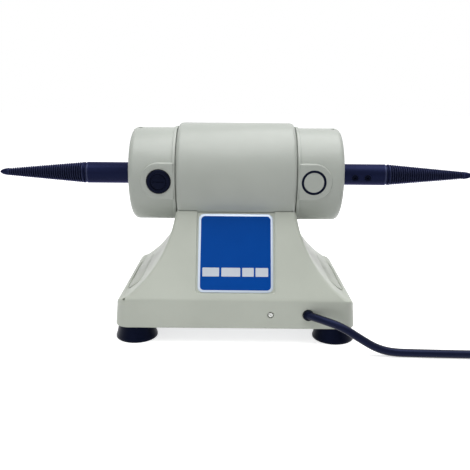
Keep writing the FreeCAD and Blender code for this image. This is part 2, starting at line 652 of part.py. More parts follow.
def controls():
    """Speed knob on its potentiometer and a rocker switch, through the far face of the base."""
    panel = -RECESS_DEPTH
    knob_at = face_frame(1, KNOB_ALONG, KNOB_X)
    skirt = Part.makeCone(KNOB_R, KNOB_R - 2.2, 3.0, V(0, 0, panel + 1.0))
    grip = Part.makeCone(KNOB_R - 3.0, KNOB_R - 4.0, KNOB_H - 4.0, V(0, 0, panel + 3.9))
    flutes = []
    for k in range(18):
        a = 2 * math.pi * k / 18
        at = V(math.cos(a), math.sin(a), 0) * (KNOB_R - 2.9) + V(0, 0, panel + 4.0)
        flutes.append(cylinder(0.9, KNOB_H, at))
    knob = skirt.fuse(grip).cut(flutes)
    knob = knob.cut(cylinder(6.5, 5.0, V(0, 0, panel)))
    knob = knob.cut(cylinder(3.0, 12.0, V(0, 0, panel)))
    keep("speed_knob", placed(knob, knob_at))
    stem = cylinder(2.95, 21.5, V(0, 0, panel - 10.0))
    keep("potentiometer_stem", placed(stem, knob_at))
    can = cylinder(9.0, 9.0, V(0, 0, -BASE_WALL - 9.05)).fuse(cylinder(3.4, 6.2, V(0, 0, -BASE_WALL - 0.1)))
    can = can.cut(cylinder(3.02, 20, V(0, 0, panel - 10.5)))
    keep("potentiometer", placed(can, knob_at))
    sixth = math.pi / 3
    nut_ring = [V(5.6 * math.cos(k * sixth), 5.6 * math.sin(k * sixth), panel + 0.02) for k in range(6)]
    nut = Part.Face(Part.makePolygon(nut_ring + nut_ring[:1])).extrude(V(0, 0, 2.0))
    keep("potentiometer_nut", placed(nut.cut(cylinder(3.45, 8, V(0, 0, -5))), knob_at))

    switch_at = face_frame(1, KNOB_ALONG, SWITCH_X)
    bezel = rounded_plate(SWITCH_W + 2.4, SWITCH_H + 2.4, 1.6, 1.2)
    bezel.translate(V(0, 0, panel + 0.02))
    w, h = SWITCH_W - 0.3, SWITCH_H - 0.3
    shell = bezel.fuse(Part.makeBox(w, h, 14, V(-w / 2, -h / 2, panel - 13.5)))
    shell = shell.cut(Part.makeBox(w - 2.0, h - 2.0, 12, V(-(w - 2) / 2, -(h - 2) / 2, panel - 6)))
    shell = shell.cut(rocker_pin(PIN_R + 0.05, w + 1, panel))
    keep("switch_body", placed(shell, switch_at))
    rocker = rocker_solid(w - 2.6, h - 3.8, panel).fuse(rocker_pin(PIN_R, w - 0.6, panel))
    keep("switch_rocker", placed(rocker, switch_at))


def rocker_pin(r, length, panel):
    """The line on which the rocker tips, as a pin across the switch."""
    return cylinder(r, length, V(-length / 2, 0, panel + ROCKER_PIN), X_AXIS)


def rocker_solid(w, h, panel):
    """A rocker with a hollowed top, tipped to its off side about a pin line just under the bezel."""
    half = h / 2
    profile = [V(-w / 2, -half, 4.6), V(-w / 2, 0, 3.4), V(-w / 2, half, 4.6), V(-w / 2, half - 1.2, -0.4),
               V(-w / 2, 0, -1.6), V(-w / 2, -half + 1.2, -0.4)]
    body = Part.Face(Part.makePolygon(profile + profile[:1])).extrude(V(w, 0, 0))
    body.rotate(V(0, 0, 0), X_AXIS, -ROCKER_TILT)
    body.translate(V(0, 0, panel + ROCKER_PIN))
    return body


def electronics():
    board = Part.makeBox(70, 42, 1.6, V(-40, -16, FOOT_H + PLATE_T + 6))
    for x in (-36, 26):
        for y in (-12, 22):
            board = board.cut(cylinder(1.8, 6, V(x, y, FOOT_H + PLATE_T + 4)))
    keep("control_board", board)
    screws = []
    for x in (-36, 26):
        for y in (-12, 22):
            post = cylinder(3.0, 5.9, V(x, y, FOOT_H + PLATE_T + 0.05))
            pin = cylinder(1.7, 9, V(x, y, FOOT_H + PLATE_T + 0.05))
            head = cylinder(2.8, 1.6, V(x, y, FOOT_H + PLATE_T + 7.65))
            screws.append(post.fuse(pin).fuse(head))
    keep("board_posts", *screws)
    sink = Part.makeBox(36, 3, 22, V(-22, -8, FOOT_H + PLATE_T + 7.7))
    fins = [Part.makeBox(2, 12, 22, V(-22 + 6.8 * k, -6, FOOT_H + PLATE_T + 7.7)) for k in range(6)]
    keep("heat_sink", sink.fuse(fins))


def rounded_route(points):
    """Straight runs joined by tangent arcs, as large as their runs allow. Returns the wire and radii."""
    edges = []
    radii = []
    at = points[0]
    for before, corner, after in zip(points, points[1:], points[2:]):
        u = (corner - before).normalize()
        w = (after - corner).normalize()
        turn = u.getAngle(w)
        short = min((corner - before).Length, (after - corner).Length)
        radius = 0.45 * short / math.tan(turn / 2)
        cut = 0.45 * short
        start = corner - u * cut
        end = corner + w * cut
        bisector = (w - u).normalize()
        middle = corner + bisector * (radius / math.cos(turn / 2) - radius)
        edges.append(Part.LineSegment(at, start).toShape())
        edges.append(Part.Arc(start, middle, end).toShape())
        at = end
        radii.append(radius)
    edges.append(Part.LineSegment(at, points[-1]).toShape())
    return Part.Wire(edges), radii


def tube_on(wire, r):
    """A round tube along a wire, by a pipe shell in its default mode."""
    first = wire.OrderedEdges[0]
    start = first.valueAt(first.FirstParameter)
    heading = first.tangentAt(first.FirstParameter)
    if (start - wire.OrderedVertexes[0].Point).Length > 0.01:
        start = first.valueAt(first.LastParameter)
        heading = heading * -1
    circle = Part.Wire(Part.Circle(start, heading, r).toShape())
    return wire.makePipeShell([circle], True, False)


def coil_wire():
    """Half turns that spiral in on the floor, climb, and spiral out again on top, then a tail to the plug."""
    step = COIL_PITCH / 2
    low = CORD_R + COIL_LIFT
    high = low + LAYER_RISE
    halves = [(COIL_OUT_R - k * step, low) for k in range(COIL_LOW_HALVES)]
    inner = COIL_OUT_R - COIL_LOW_HALVES * step
    halves.append((inner, high))
    halves += [(inner + (k + 1) * step, high) for k in range(COIL_TOP_HALVES)]
    halves.append((COIL_TAIL_R, PLUG_Z))
    at = COIL_CENTRE + V(0, -COIL_OUT_R, low)
    heading = 1
    edges = [Part.makeLine(at - X_AXIS * COIL_STRAIGHT, at)]
    for r, z in halves:
        to = V(at.x, at.y + 2 * r * heading, z)
        reach = (to - at).Length / 2
        edges.append(Part.Arc(at, (at + to) * 0.5 + X_AXIS * heading * reach, to).toShape())
        at = to
        heading = -heading
    end = at + X_AXIS * heading * COIL_STRAIGHT
    edges.append(Part.makeLine(at, end))
    return Part.Wire(edges), end


def least_gap(wire, r):
    """Smallest clear gap of a tube to itself, measured between points along its line."""
    count = int(wire.Length / 2.0)
    pts = wire.discretize(count)
    spacing = wire.Length / (count - 1)
    skip = int(6 * r / spacing) + 1
    best = 1e9
    for i, p in enumerate(pts):
        for q in pts[i + skip:]:
            best = min(best, p.distanceToPoint(q))
    return best - 2 * r


def cord_bushing():
    """Black strain relief in the skirt's hole: a blunt nose for the cord and a tapered tail inside."""
    at = V(CORD_HOLE.x, CORD_HOLE.y - 0.4, CORD_HOLE.z)
    seat_r = CORD_HOLE_R - 0.05
    body = cylinder(seat_r, BASE_WALL + 0.6, at, Y_AXIS)
    nose = Part.makeCone(seat_r - 0.7, seat_r, NOSE_L, at - Y_AXIS * NOSE_L, Y_AXIS)
    collar = cylinder(seat_r + 1.4, 2.0, at + Y_AXIS * (BASE_WALL + 0.6), Y_AXIS)
    tail = Part.makeCone(seat_r, CORD_R + 0.4, RELIEF_TAIL_L, at + Y_AXIS * (BASE_WALL + 2.5), Y_AXIS)
    return body.fuse([nose, collar, tail])


def cord_tie():
    """A flat strap round all the turns, on the side of the coil away from the machine."""
    slack = CORD_R + 0.8
    x0 = COIL_CENTRE.x + COIL_OUT_R - COIL_LOW_HALVES * COIL_PITCH / 2 - slack
    x1 = COIL_CENTRE.x + COIL_OUT_R + slack
    high = COIL_LIFT + LAYER_RISE + 2 * CORD_R + 0.3
    y0 = COIL_CENTRE.y - TIE_W / 2
    outer = Part.makeBox(x1 - x0 + 2 * TIE_T, TIE_W, high + TIE_T - 0.05, V(x0 - TIE_T, y0, 0.05))
    hole = Part.makeBox(x1 - x0, TIE_W + 2, high - TIE_T - 0.05, V(x0, y0 - 1, TIE_T + 0.05))
    return outer.cut(hole)


def plug(end):
    """Moulded plug on its side, pointing on from the coil's end: a tapered tail, a body and three pins."""
    tail = Part.makeCone(CORD_R + 0.9, 5.6, PLUG_TAIL_L, end, X_AXIS)
    x0 = end.x + PLUG_TAIL_L
    body = Part.makeBox(PLUG_L, PLUG_W, PLUG_T - 0.1, V(x0, end.y - PLUG_W / 2, 0.1))
    body = fillet_where(body, 3.5, lambda e: abs(e.tangentAt(e.FirstParameter).x) > 0.99)
    body = fillet_where(body, 2.5, lambda e: abs(e.CenterOfMass.x - x0) < 0.05)
    face_x = x0 + PLUG_L - 0.05
    blade_z = PLUG_Z - BLADE_W / 2 - 2.5
    pins = []
    for s in (-1, 1):
        blade_y = end.y + (s * BLADE_GAP - BLADE_T) / 2
        pins.append(Part.makeBox(BLADE_L, BLADE_T, BLADE_W, V(face_x, blade_y, blade_z)))
    pins.append(cylinder(EARTH_PIN_R, EARTH_PIN_L, V(face_x, end.y, PLUG_Z + 5.6), X_AXIS))
    return body.fuse(tail), pins


def make_cord():
    wire, radii = rounded_route(CORD_ROUTE)
    tube = tube_on(wire, CORD_R)
    print("cord radii", [round(r, 1) for r in radii])
    area = math.pi * CORD_R ** 2
    print("cord length", round(wire.Length, 1), "volume over section x length",
          round(tube.Volume / area / wire.Length, 4))
    keep("cord", tube)
    coil, end = coil_wire()
    winding = tube_on(coil, CORD_R)
    print("coil length", round(coil.Length, 1), "volume over section x length",
          round(winding.Volume / area / coil.Length, 4), "least gap", round(least_gap(coil, CORD_R), 2))
    keep("cord_coil", winding)
    keep("cord_bushing", cord_bushing())
    keep("cord_tie", cord_tie())
    body, pins = plug(end)
    keep("plug_body", body)
    keep("plug_pins", *pins)


def main():
    keep("base_casting", base_casting())
    keep("bottom_plate", bottom_plate())
    corners = (("front_left", -1, -1), ("front_right", 1, -1), ("rear_left", -1, 1), ("rear_right", 1, 1))
    for name, sx, sy in corners:
        keep("foot_" + name, foot(sx * FOOT_X, sy * FOOT_Y))
    keep("foot_screws", *[foot_screw(sx * FOOT_X, sy * FOOT_Y) for name, sx, sy in corners])
    keep("nameplate", nameplate())
    screw = cylinder(1.25, 6, SKIRT_SCREW + Y_AXIS * 0.02, Y_AXIS)
    keep("skirt_screw", screw.fuse(cylinder(1.9, 0.8, SKIRT_SCREW + Y_AXIS * 0.02, Y_AXIS)))
    keep("motor_mount_screws", *mount_screws())
    keep("motor_tube", motor_tube())
    keep("front_magnet", magnet(-1))
    keep("rear_magnet", magnet(1))
    keep("left_end_bell", end_bell(-1))
    keep("right_end_bell", end_bell(1))
    keep("through_bolts", *through_bolts())
    keep("through_bolt_nuts", *through_bolt_nuts())
    bearing("left_bearing", -BEARING_X - BEARING_W)
    bearing("right_bearing", BEARING_X)
    keep("wave_washer", x_ring(14.5, 12.5, BEARING_X - 1.2, BEARING_X - 0.05))
    for name, front in (("front", True), ("rear", False)):
        brush_set(name, front)
        port_blank(name, front)
    keep("shaft", shaft())
    keep("armature_core", armature_core())
    keep("windings", windings())
    keep("commutator", commutator())
    keep("left_spindle", spindle(-1, 195.0))
    keep("right_spindle", spindle(1, 12.0))
    keep("left_set_screws", *set_screws(-1, 195.0))
    keep("right_set_screws", *set_screws(1, 12.0))
    controls()
    electronics()
    make_cord()
    os.makedirs("parts", exist_ok=True)
    for name, shape in nodes.items():
        if not shape.isValid():
            print("not valid:", name)
        shape.exportStep(os.path.join("parts", name + ".step"))
    print(len(nodes), "nodes")


main()
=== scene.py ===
"""Looks of a bench polishing lathe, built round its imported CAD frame.

Metres in Blender; the sizes below are written in millimetres and multiplied by MM where they are used.
"""
import bmesh
import bpy
import math
from mathutils import Matrix, Vector


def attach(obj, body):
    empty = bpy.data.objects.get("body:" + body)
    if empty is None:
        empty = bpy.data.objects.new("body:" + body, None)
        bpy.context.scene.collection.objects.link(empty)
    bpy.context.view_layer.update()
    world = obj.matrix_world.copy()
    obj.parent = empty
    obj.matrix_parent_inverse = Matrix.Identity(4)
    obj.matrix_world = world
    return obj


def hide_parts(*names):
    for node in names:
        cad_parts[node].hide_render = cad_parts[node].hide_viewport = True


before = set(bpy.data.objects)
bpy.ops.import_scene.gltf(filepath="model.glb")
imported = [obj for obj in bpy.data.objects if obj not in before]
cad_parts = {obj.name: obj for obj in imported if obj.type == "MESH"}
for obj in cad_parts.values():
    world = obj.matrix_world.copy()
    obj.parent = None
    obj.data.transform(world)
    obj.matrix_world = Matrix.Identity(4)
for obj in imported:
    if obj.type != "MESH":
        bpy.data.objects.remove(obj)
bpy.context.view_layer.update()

MM = 0.001
MERGE = 0.002               # points closer than this are one
AXIS_Z = 120.0              # height of the spindle axis
X_AXIS = Vector((1, 0, 0))
Y_AXIS = Vector((0, 1, 0))
Z_AXIS = Vector((0, 0, 1))
MIRROR = Matrix.Scale(-1, 4, X_AXIS)

# Camera, fitted to the photograph's perspective
CAMERA_AT = Vector((-0.6, -465.4, 185.4))
CAMERA_PITCH = 14.02        # degrees below level
CAMERA_ROLL = 0.5           # degrees, so that the machine leans a little to the right
LENS = 44.66                # mm, on a sensor 36 mm wide

# Motor
TUBE_R = 40.0
TUBE_WALL = 4.0
TUBE_HALF = 45.0
TUBE_EDGE_R = 3.5
FLANGE_R = 37.3
FLANGE_END_X = 48.0
FLANGE_EDGE_R = 0.4
JOINT_GAP = 0.05            # play between the tube and each bell
GROOVE_R = 34.6             # bottom of the dark joint beside the tube
GROOVE_W = 0.6
BELL_R = 36.2
BELL_WALL = 4.0
BELL_END_X = 81.0
BELL_EDGE_R = 4.5
SPIGOT_X = 41.5
BEARING_X = 67.0
BEARING_W = 10.0
BEARING_OUT_R = 16.0
BEARING_BOSS = 3.5          # wall round each bearing
SHAFT_R = 6.0
BELL_BORE_R = 7.0
PORT_X = 57.7
PORT_TILT = 2.0             # degrees that the ports sit below the horizontal
PAD_R = 13.75
PAD_FACE = 37.25            # distance of the pad's flat face from the motor axis
PAD_RIM_R = 1.0
PAD_DEPTH = 10.0
PAD_STEPS = 28
PORT_SEAT_R = 9.3
PORT_SEAT_DEPTH = 2.5
PORT_BORE_R = 7.2
PORT_BORE_FROM = 20.0       # the bore starts at this distance from the motor axis
PAST_PAD = 45.0             # distance from the motor axis that is outside every pad
PAST_BELL_X = 90.0
BOLT_R_POS = 31.0
BOLT_HOLE_R = 2.1
BOLT_POCKET_R = 4.4
BOLT_POCKET_DEPTH = 3.0
SHOULDER_HOLE = (74.8, -4.0)
SHOULDER_HOLE_R = 1.5
SHOULDER_HOLE_DEPTH = 2.6

# Outline of a brush cap: radius and distance from the motor axis
CAP_OUTLINE = ((0, 33.0), (6.9, 33.0), (6.9, 34.7), (8.8, 34.7), (8.95, 34.9), (8.95, 37.7), (8.75, 38.2),
               (8.3, 38.5), (6.5, 38.55), (6.2, 38.4), (6.0, 37.7), (5.6, 37.7), (5.4, 38.1), (5.1, 38.25),
               (0, 38.25))
CAP_SLOT_HALF_L = 4.2
CAP_SLOT_HALF_W = 0.55
CAP_SLOT_FLOOR = 37.4

# Spindles
SPINDLE_X = 81.8
SPINDLE_R = 8.35
SPINDLE_BORE_R = SHAFT_R + 0.03
BORE_END_X = 109.0
BORE_TIP_X = 111.0
COLLAR_L = 4.0
COLLAR_RISE = 0.15
PAINTED_HIGHLIGHT_RING = 2.0           # a ring of painted highlight, a paler colour, at the adapter's end starts this far before the neck
NECK_X = 119.5
NECK_DEPTH = 0.8
TAPER_X = 120.4
TAPER_R = 8.4
TAPER_END_X = 182.8
TAPER_END_R = 2.95
TIP_X = 189.2
BULLET_NOSE = ((0, 2.75), (1.2, 2.7), (2.6, 2.45), (4.0, 2.0), (5.1, 1.45), (5.9, 0.8), (6.3, 0.35))
SET_SCREW_X = (93.8, 103.8)
SET_SCREW_R = 2.5
SCREW_SINK = 0.5            # how much wider the countersink is than the hole
SCREW_SINK_DEPTH = 0.7
THREAD_X = 121.0            # where it starts
THREAD_PITCH = 1.81
THREAD_DEPTH = 0.95
THREAD_ROWS = 8             # rings of points in one pitch
THREAD_CREST = 0.16         # share of the pitch
THREAD_ROOT = 0.18
THREAD_FADE_IN = 1.5
THREAD_FADE_OUT = 2.5

# Base
BASE_HALF_W = 88.7          # at the ledge
SKIRT_DRAFT = 1.4           # how much the skirt widens a side, down to its foot
BASE_HALF_D = 61.0
FOOT_H = 12.5
SKIRT_TOP = 35.0
SADDLE_Y = 32.2
SADDLE_Z = 96.2
FLANK_X = 131.0
FLANK_Z = 106.0
FLANK_R = 86.0
BASE_WALL = 5.0
SADDLE_EASE = 1.4           # how much wider the saddle's arc is than the tube, for the dark line at its edge
SKIRT_CORNER_R = 10.0
SKIRT_FOOT_R = 0.9
LEDGE_R = 6.2
CREASE_R = 4.5
RIDGE_R = 2.5
RIDGE_RISE = 7.0            # the corners narrow from the skirt's radius to the ridges' over this height
CORNER_STEPS = 8            # faces round a corner of the pedestal
LEDGE_STEPS = 6
FLANK_ROWS = 26             # rows of faces up its flank
FLANK_CROWDING = 1.2        # over 1, the rows lie closer together near the ledge
HOLLOW_ROWS = [45.0, 55.0, 65.0]
RECESS_HALF_W = 29.3
RECESS_FOOT = 0.925         # where the recess ends, as a share of the way down the sloping face
RECESS_DEPTH = 1.4
RECESS_CORNER_R = 2.5
RECESS_RUN_OUT = 20.0       # how far the recess goes on under the tube
EDGE_EASE = 0.35            # how far the recess's edges are broken
FLANK_PAD_HALF_L = 38.0
FLANK_PAD_W = 15.0
FLANK_PAD_RISE = 0.42
FLANK_PAD_EDGE_R = 0.12
FLANK_PAD_ANGLE = 232.0     # place of the pad on the flank's arc, in degrees about its centre
FLANK_GAP = 1.5             # dark crescent at each end of the pad
FLANK_GAP_INSET = 0.5       # the gap is this much narrower than the pad, so that it shows at the ends only
FOOT_X = 75.7
FOOT_Y = 45.0
CORD_HOLE = Vector((54.1, -61.0, 23.7))
CORD_HOLE_R = 4.3
SKIRT_SCREW = Vector((26.3, -61.0, 23.5))
SKIRT_SCREW_SEAT_R = 2.5
SKIRT_SCREW_SEAT_DEPTH = 1.6
SKIRT_SCREW_TURN = -35.0
CORE_PIN_HOLE = Vector((-82.0, -62.0, 35.6))
CORE_PIN_HOLE_R = 1.0

# Outlines of a foot and of the skirt screw: radius and height
FOOT_OUTLINE = ((2.5, FOOT_H), (2.5, 6.0), (5.5, 6.0), (5.5, 3.2), (9.5, 1.4), (13.2, 0.0), (15.4, 0.0),
                (15.8, 0.4), (15.8, 1.6), (15.55, 2.4), (15.2, 3.2), (13.0, FOOT_H), (2.5, FOOT_H))
SKIRT_SCREW_OUTLINE = ((0, -6.0), (1.2, -6.0), (1.2, -1.0), (1.9, -1.0), (1.9, -0.5), (1.65, -0.1),
                       (1.0, 0.1), (0, 0.15))

# Nameplate
NAME_ALONG = 0.476          # its middle, as a share of the way down the face
NAME_SHEET = (56.0, 59.6, 0.0, 0.45, 4.2, 8)    # width, height, underside, top, corner radius, corner steps
NAME_SHEET_EDGE_R = 0.12
NAME_FIELD = (52.6, 56.2, 0.44, 0.52, 3.0, 8)
NAME_BOXES = ((-24.6, -12.2), (-10.5, 3.5), (5.0, 13.6), (14.9, 24.3))     # left and right edges
NAME_BOX = (6.6, 0.51, 0.56, 0.5, 3)            # height, underside, top, corner radius, corner steps
NAME_BOX_Y = -14.6

# Controls, on the far face
CONTROLS_ALONG = 0.42       # their middle, as a share of the way down the face
KNOB_X = -13.0
KNOB_HOLE_R = 3.6
KNOB_TOP = 12.5             # height of its face above the panel's surface
KNOB_START = 225.0          # degrees, where its line points at rest
KNOB_TURN = 270.0
KNOB_LINE = (3.0, 9.6)      # from and to, out from its middle
KNOB_LINE_HALF_W = 0.5
DIAL_TICKS = 11
TICK = (14.6, 15.9)         # from and to, out from the knob's middle
TICK_HALF_W = 0.28
SWITCH_X = 15.5
SWITCH_HALF_W = 6.5
SWITCH_HALF_H = 9.75
ROCKER_TILT = 10.0          # degrees, at rest
ROCKER_PIVOT = -3.0         # height of its axis above the panel's surface
ROCKER_SLOPE = 8.86         # degrees between each half of its face and the middle
ROCKER_MIDDLE = 3.4         # height of its hollow above the pivot
MARK_Y = 4.4                # distance of each mark from the rocker's middle
BAR_HALF_W = 0.3
BAR_HALF_H = 1.5
RING_IN_R = 1.2
RING_OUT_R = 1.75

# Cord
CORD_R = 3.0
COIL_CENTRE = Vector((249.0, -33.7, 0.0))
COIL_PITCH = 6.7            # from one turn to the next
COIL_OUT_R = 48.0           # first half turn of the lower layer
COIL_LOW_HALVES = 8         # half turns that spiral in on the floor
COIL_TOP_HALVES = 6         # half turns that spiral out on top of them
COIL_TAIL_R = 53.0          # last half turn, out to the plug
COIL_LIFT = 0.7             # the tie under the coil lifts it by this much
LAYER_RISE = 6.7
COIL_STRAIGHT = 6.5
HALF_TURN_STEPS = 8
PLUG_Z = 10.0
CORD_ROUTE = [
    (54.6, -61.8, 23.7), (63.8, -69.6, 23.4), (76.6, -75.2, 20.7), (90.8, -77.8, 12.2), (101.6, -78.6, 5.9),
    (113.2, -79.2, CORD_R), (129.0, -80.0, CORD_R), (150.0, -80.8, CORD_R), (173.0, -81.35, CORD_R),
    (197.0, -81.6, CORD_R), (220.0, -81.68, CORD_R + 0.15),
]

FACE_RUN = BASE_HALF_D - SADDLE_Y
FACE_RISE = SADDLE_Z - SKIRT_TOP
FACE_LEN = math.hypot(FACE_RUN, FACE_RISE)

# Light
FLOOR_SIZE = 8.0            # metres
GLOW_NEAR = (0.25, 0.68)    # the floor glows less near the machine: distance in metres, and strength
GLOW_FAR = (0.7, 1.0)
WORLD_LIGHT = 0.12
LAMPS = (                   # name, place, aim, width and depth, all in metres, and watts
    ("overhead_softbox", (0.1, -0.1, 1.1), (0, 0, 0.1), (1.4, 1.0), 14.5),
    ("front_softbox", (-0.5, -1.2, 0.75), (0, 0, 0.07), (0.9, 0.9), 2.2),
)


# Tools for modelling

def deselect():
    bpy.ops.object.select_all(action="DESELECT")


def only(obj):
    deselect()
    obj.select_set(True)
    bpy.context.view_layer.objects.active = obj


def leave_edit():
    bpy.ops.object.mode_set(mode="OBJECT")


def pick_edges(obj, chosen):
    """Go into edit mode with those edges selected whose two ends, in millimetres, pass the test."""
    only(obj)
    bpy.ops.object.mode_set(mode="EDIT")
    bpy.ops.mesh.select_mode(type="EDGE")
    bpy.ops.mesh.select_all(action="DESELECT")
    mesh = bmesh.from_edit_mesh(obj.data)
    found = 0
    for edge in mesh.edges:
        a, b = (v.co / MM for v in edge.verts)
        if chosen(a, b):
            edge.select_set(True)
            found += 1
    bmesh.update_edit_mesh(obj.data)
    return found


def pick_faces(obj, chosen):
    """Go into edit mode with those faces selected whose middle, in millimetres, passes the test."""
    only(obj)
    bpy.ops.object.mode_set(mode="EDIT")
    bpy.ops.mesh.select_mode(type="FACE")
    bpy.ops.mesh.select_all(action="DESELECT")
    mesh = bmesh.from_edit_mesh(obj.data)
    for face in mesh.faces:
        face.select_set(chosen(face.calc_center_median() / MM))
    bmesh.update_edit_mesh(obj.data)


def round_edges(obj, chosen, width, segments=3):
    if pick_edges(obj, chosen):
        bpy.ops.mesh.bevel(offset=width * MM, segments=segments, affect="EDGES", clamp_overlap=True)
    leave_edit()


def trace(name, points):
    """A point extruded along the given ones. The object is left in edit mode."""
    deselect()
    bpy.ops.mesh.primitive_plane_add(size=MM, location=(0, 0, 0))
    obj = bpy.context.object
    obj.name = name
    bpy.ops.object.mode_set(mode="EDIT")
    bpy.ops.mesh.select_mode(type="VERT")
    bpy.ops.mesh.select_all(action="SELECT")
    bpy.ops.mesh.merge(type="CENTER")
    bpy.ops.transform.translate(value=Vector(points[0]) * MM)
    for a, b in zip(points, points[1:]):
        step = (Vector(b) - Vector(a)) * MM
        bpy.ops.mesh.extrude_vertices_move(TRANSFORM_OT_translate={"value": step})
    bpy.ops.mesh.select_all(action="SELECT")
    return obj


def close_up():
    """In edit mode: merge points that coincide and turn all faces outwards."""
    bpy.ops.mesh.select_all(action="SELECT")
    bpy.ops.mesh.remove_doubles(threshold=MERGE * MM)
    bpy.ops.mesh.normals_make_consistent(inside=False)
    leave_edit()


def turned(name, outline, steps=96):
    """Spin an outline of (x, radius) points about the motor axis."""
    obj = trace(name, [(x, 0, AXIS_Z + r) for x, r in outline])
    bpy.ops.mesh.spin(steps=steps, angle=2 * math.pi, center=(0, 0, AXIS_Z * MM), axis=X_AXIS)
    close_up()
    return obj


def turned_upright(name, outline, steps=64):
    """Spin an outline of (radius, z) points about the Z axis."""
    obj = trace(name, [(r, 0, z) for r, z in outline])
    bpy.ops.mesh.spin(steps=steps, angle=2 * math.pi, center=(0, 0, 0), axis=Z_AXIS)
    close_up()
    return obj


def slab(name, outline, depth):
    """A flat outline of points, filled and extruded by a vector."""
    obj = trace(name, outline)
    bpy.ops.mesh.edge_face_add()
    bpy.ops.mesh.extrude_region_move(TRANSFORM_OT_translate={"value": Vector(depth) * MM})
    close_up()
    return obj


def rod(name, r, a, b, steps=48):
    """A cylinder between two points."""
    a, b = Vector(a), Vector(b)
    deselect()
    turn = (b - a).to_track_quat("Z", "Y").to_euler()
    bpy.ops.mesh.primitive_cylinder_add(vertices=steps, radius=r * MM, depth=(b - a).length * MM,
                                        location=(a + b) * 0.5 * MM, rotation=turn)
    obj = bpy.context.object
    obj.name = name
    bpy.ops.object.transform_apply(location=True, rotation=True, scale=True)
    return obj


def block(name, low, high):
    low, high = Vector(low), Vector(high)
    deselect()
    bpy.ops.mesh.primitive_cube_add(size=1, location=(low + high) * 0.5 * MM, scale=(high - low) * MM)
    obj = bpy.context.object
    obj.name = name
    bpy.ops.object.transform_apply(location=True, rotation=True, scale=True)
    return obj


def combine(obj, tool, how):
    """Boolean of obj with a tool, which is used up."""
    only(obj)
    bpy.ops.object.modifier_add(type="BOOLEAN")
    cut = obj.modifiers[-1]
    cut.operation = how
    cut.solver = "MANIFOLD"
    cut.object = tool
    bpy.ops.object.modifier_apply(modifier=cut.name)
    bpy.data.objects.remove(tool)


def cut_away(obj, tool):
    combine(obj, tool, "DIFFERENCE")


def soften(obj, width, segments=2, angle=30):
    """Bevel all edges sharper than an angle."""
    only(obj)
    bpy.ops.object.modifier_add(type="BEVEL")
    bevel = obj.modifiers[-1]
    bevel.width = width * MM
    bevel.segments = segments
    bevel.limit_method = "ANGLE"
    bevel.angle_limit = math.radians(angle)
    bpy.ops.object.modifier_apply(modifier=bevel.name)


def smooth(obj, angle=30):
    only(obj)
    bpy.ops.object.shade_smooth_by_angle(angle=math.radians(angle))


def moved(x, y, z):
    return Matrix.Translation((x * MM, y * MM, z * MM))


def rotated(degrees, axis):
    return Matrix.Rotation(math.radians(degrees), 4, axis)


def place(obj, matrix):
    """Move the mesh, so that the object stays at the origin. A mirror image has its faces turned out."""
    obj.data.transform(matrix)
    if matrix.determinant() < 0:
        obj.data.flip_normals()
    return obj


def copy_of(obj, name, matrix):
    """A copy with its own mesh, in another place."""
    other = obj.copy()
    other.data = obj.data.copy()
    other.name = name
    bpy.context.scene.collection.objects.link(other)
    return place(other, matrix)


def copy_of_cad(node, angle=25):
    """A merged, smoothly shaded copy of a CAD node."""
    deselect()
    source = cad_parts[node]
    other = source.copy()
    other.data = source.data.copy()
    for key in list(other.keys()):
        del other[key]
    other.parent = None
    other.name = node + "_shown"
    bpy.context.scene.collection.objects.link(other)
    other.data.materials.clear()
    only(other)
    bpy.ops.object.mode_set(mode="EDIT")
    bpy.ops.mesh.select_all(action="SELECT")
    bpy.ops.mesh.remove_doubles(threshold=MERGE * MM)
    leave_edit()
    smooth(other, angle)
    return other


def finish_piece(obj, body, slot, finish, *nodes):
    """Give a piece its finish, the body it moves with and the CAD nodes that it stands for."""
    obj.data.materials.clear()
    obj.data.materials.append(finish)
    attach(obj, body)
    if nodes:
        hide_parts(*nodes)
    return obj


# Finishes

def linear(code):
    """An sRGB hex code as a linear colour."""
    values = [int(code[k:k + 2], 16) / 255 for k in (1, 3, 5)]
    return [v / 12.92 if v <= 0.04045 else ((v + 0.055) / 1.055) ** 2.4 for v in values] + [1.0]


def add(tree, kind, inputs=None, **settings):
    """Add a node. Inputs are values or the sockets that they come from."""
    made = tree.nodes.new(kind)
    for key, value in settings.items():
        setattr(made, key, value)
    for key, value in (inputs or {}).items():
        if isinstance(value, bpy.types.NodeSocket):
            tree.links.new(value, made.inputs[key])
        else:
            made.inputs[key].default_value = value
    return made


def grain(tree, where, size, detail=2.0, roughness=0.5):
    """Noise whose blotches are about the given size in millimetres."""
    return add(tree, "ShaderNodeTexNoise", {"Vector": where, "Scale": 1 / (size * MM), "Detail": detail,
                                            "Roughness": roughness}).outputs["Fac"]


def between(tree, factor, low, high, a, b):
    """Map a factor's range on to two values."""
    return add(tree, "ShaderNodeMapRange", {"Value": factor, "From Min": low, "From Max": high,
                                            "To Min": a, "To Max": b}).outputs["Result"]


def spread(tree, noise, a, b):
    """Map what noise mostly gives, 0.3 to 0.7, on to two values."""
    return between(tree, noise, 0.3, 0.7, a, b)


def mixed(tree, factor, a, b):
    return add(tree, "ShaderNodeMix", {"Factor": factor, "A": a, "B": b}, data_type="RGBA").outputs[2]


def tinted(tree, factor, dark, light):
    return mixed(tree, factor, linear(dark), linear(light))


def stretched(tree, where, scale):
    return add(tree, "ShaderNodeMapping", {"Vector": where, "Scale": scale}).outputs["Vector"]


def start_finish(name):
    finish = bpy.data.materials.new(name)
    finish.use_nodes = True
    tree = finish.node_tree
    tree.nodes.clear()
    where = add(tree, "ShaderNodeTexCoord").outputs["Object"]
    return finish, tree, where


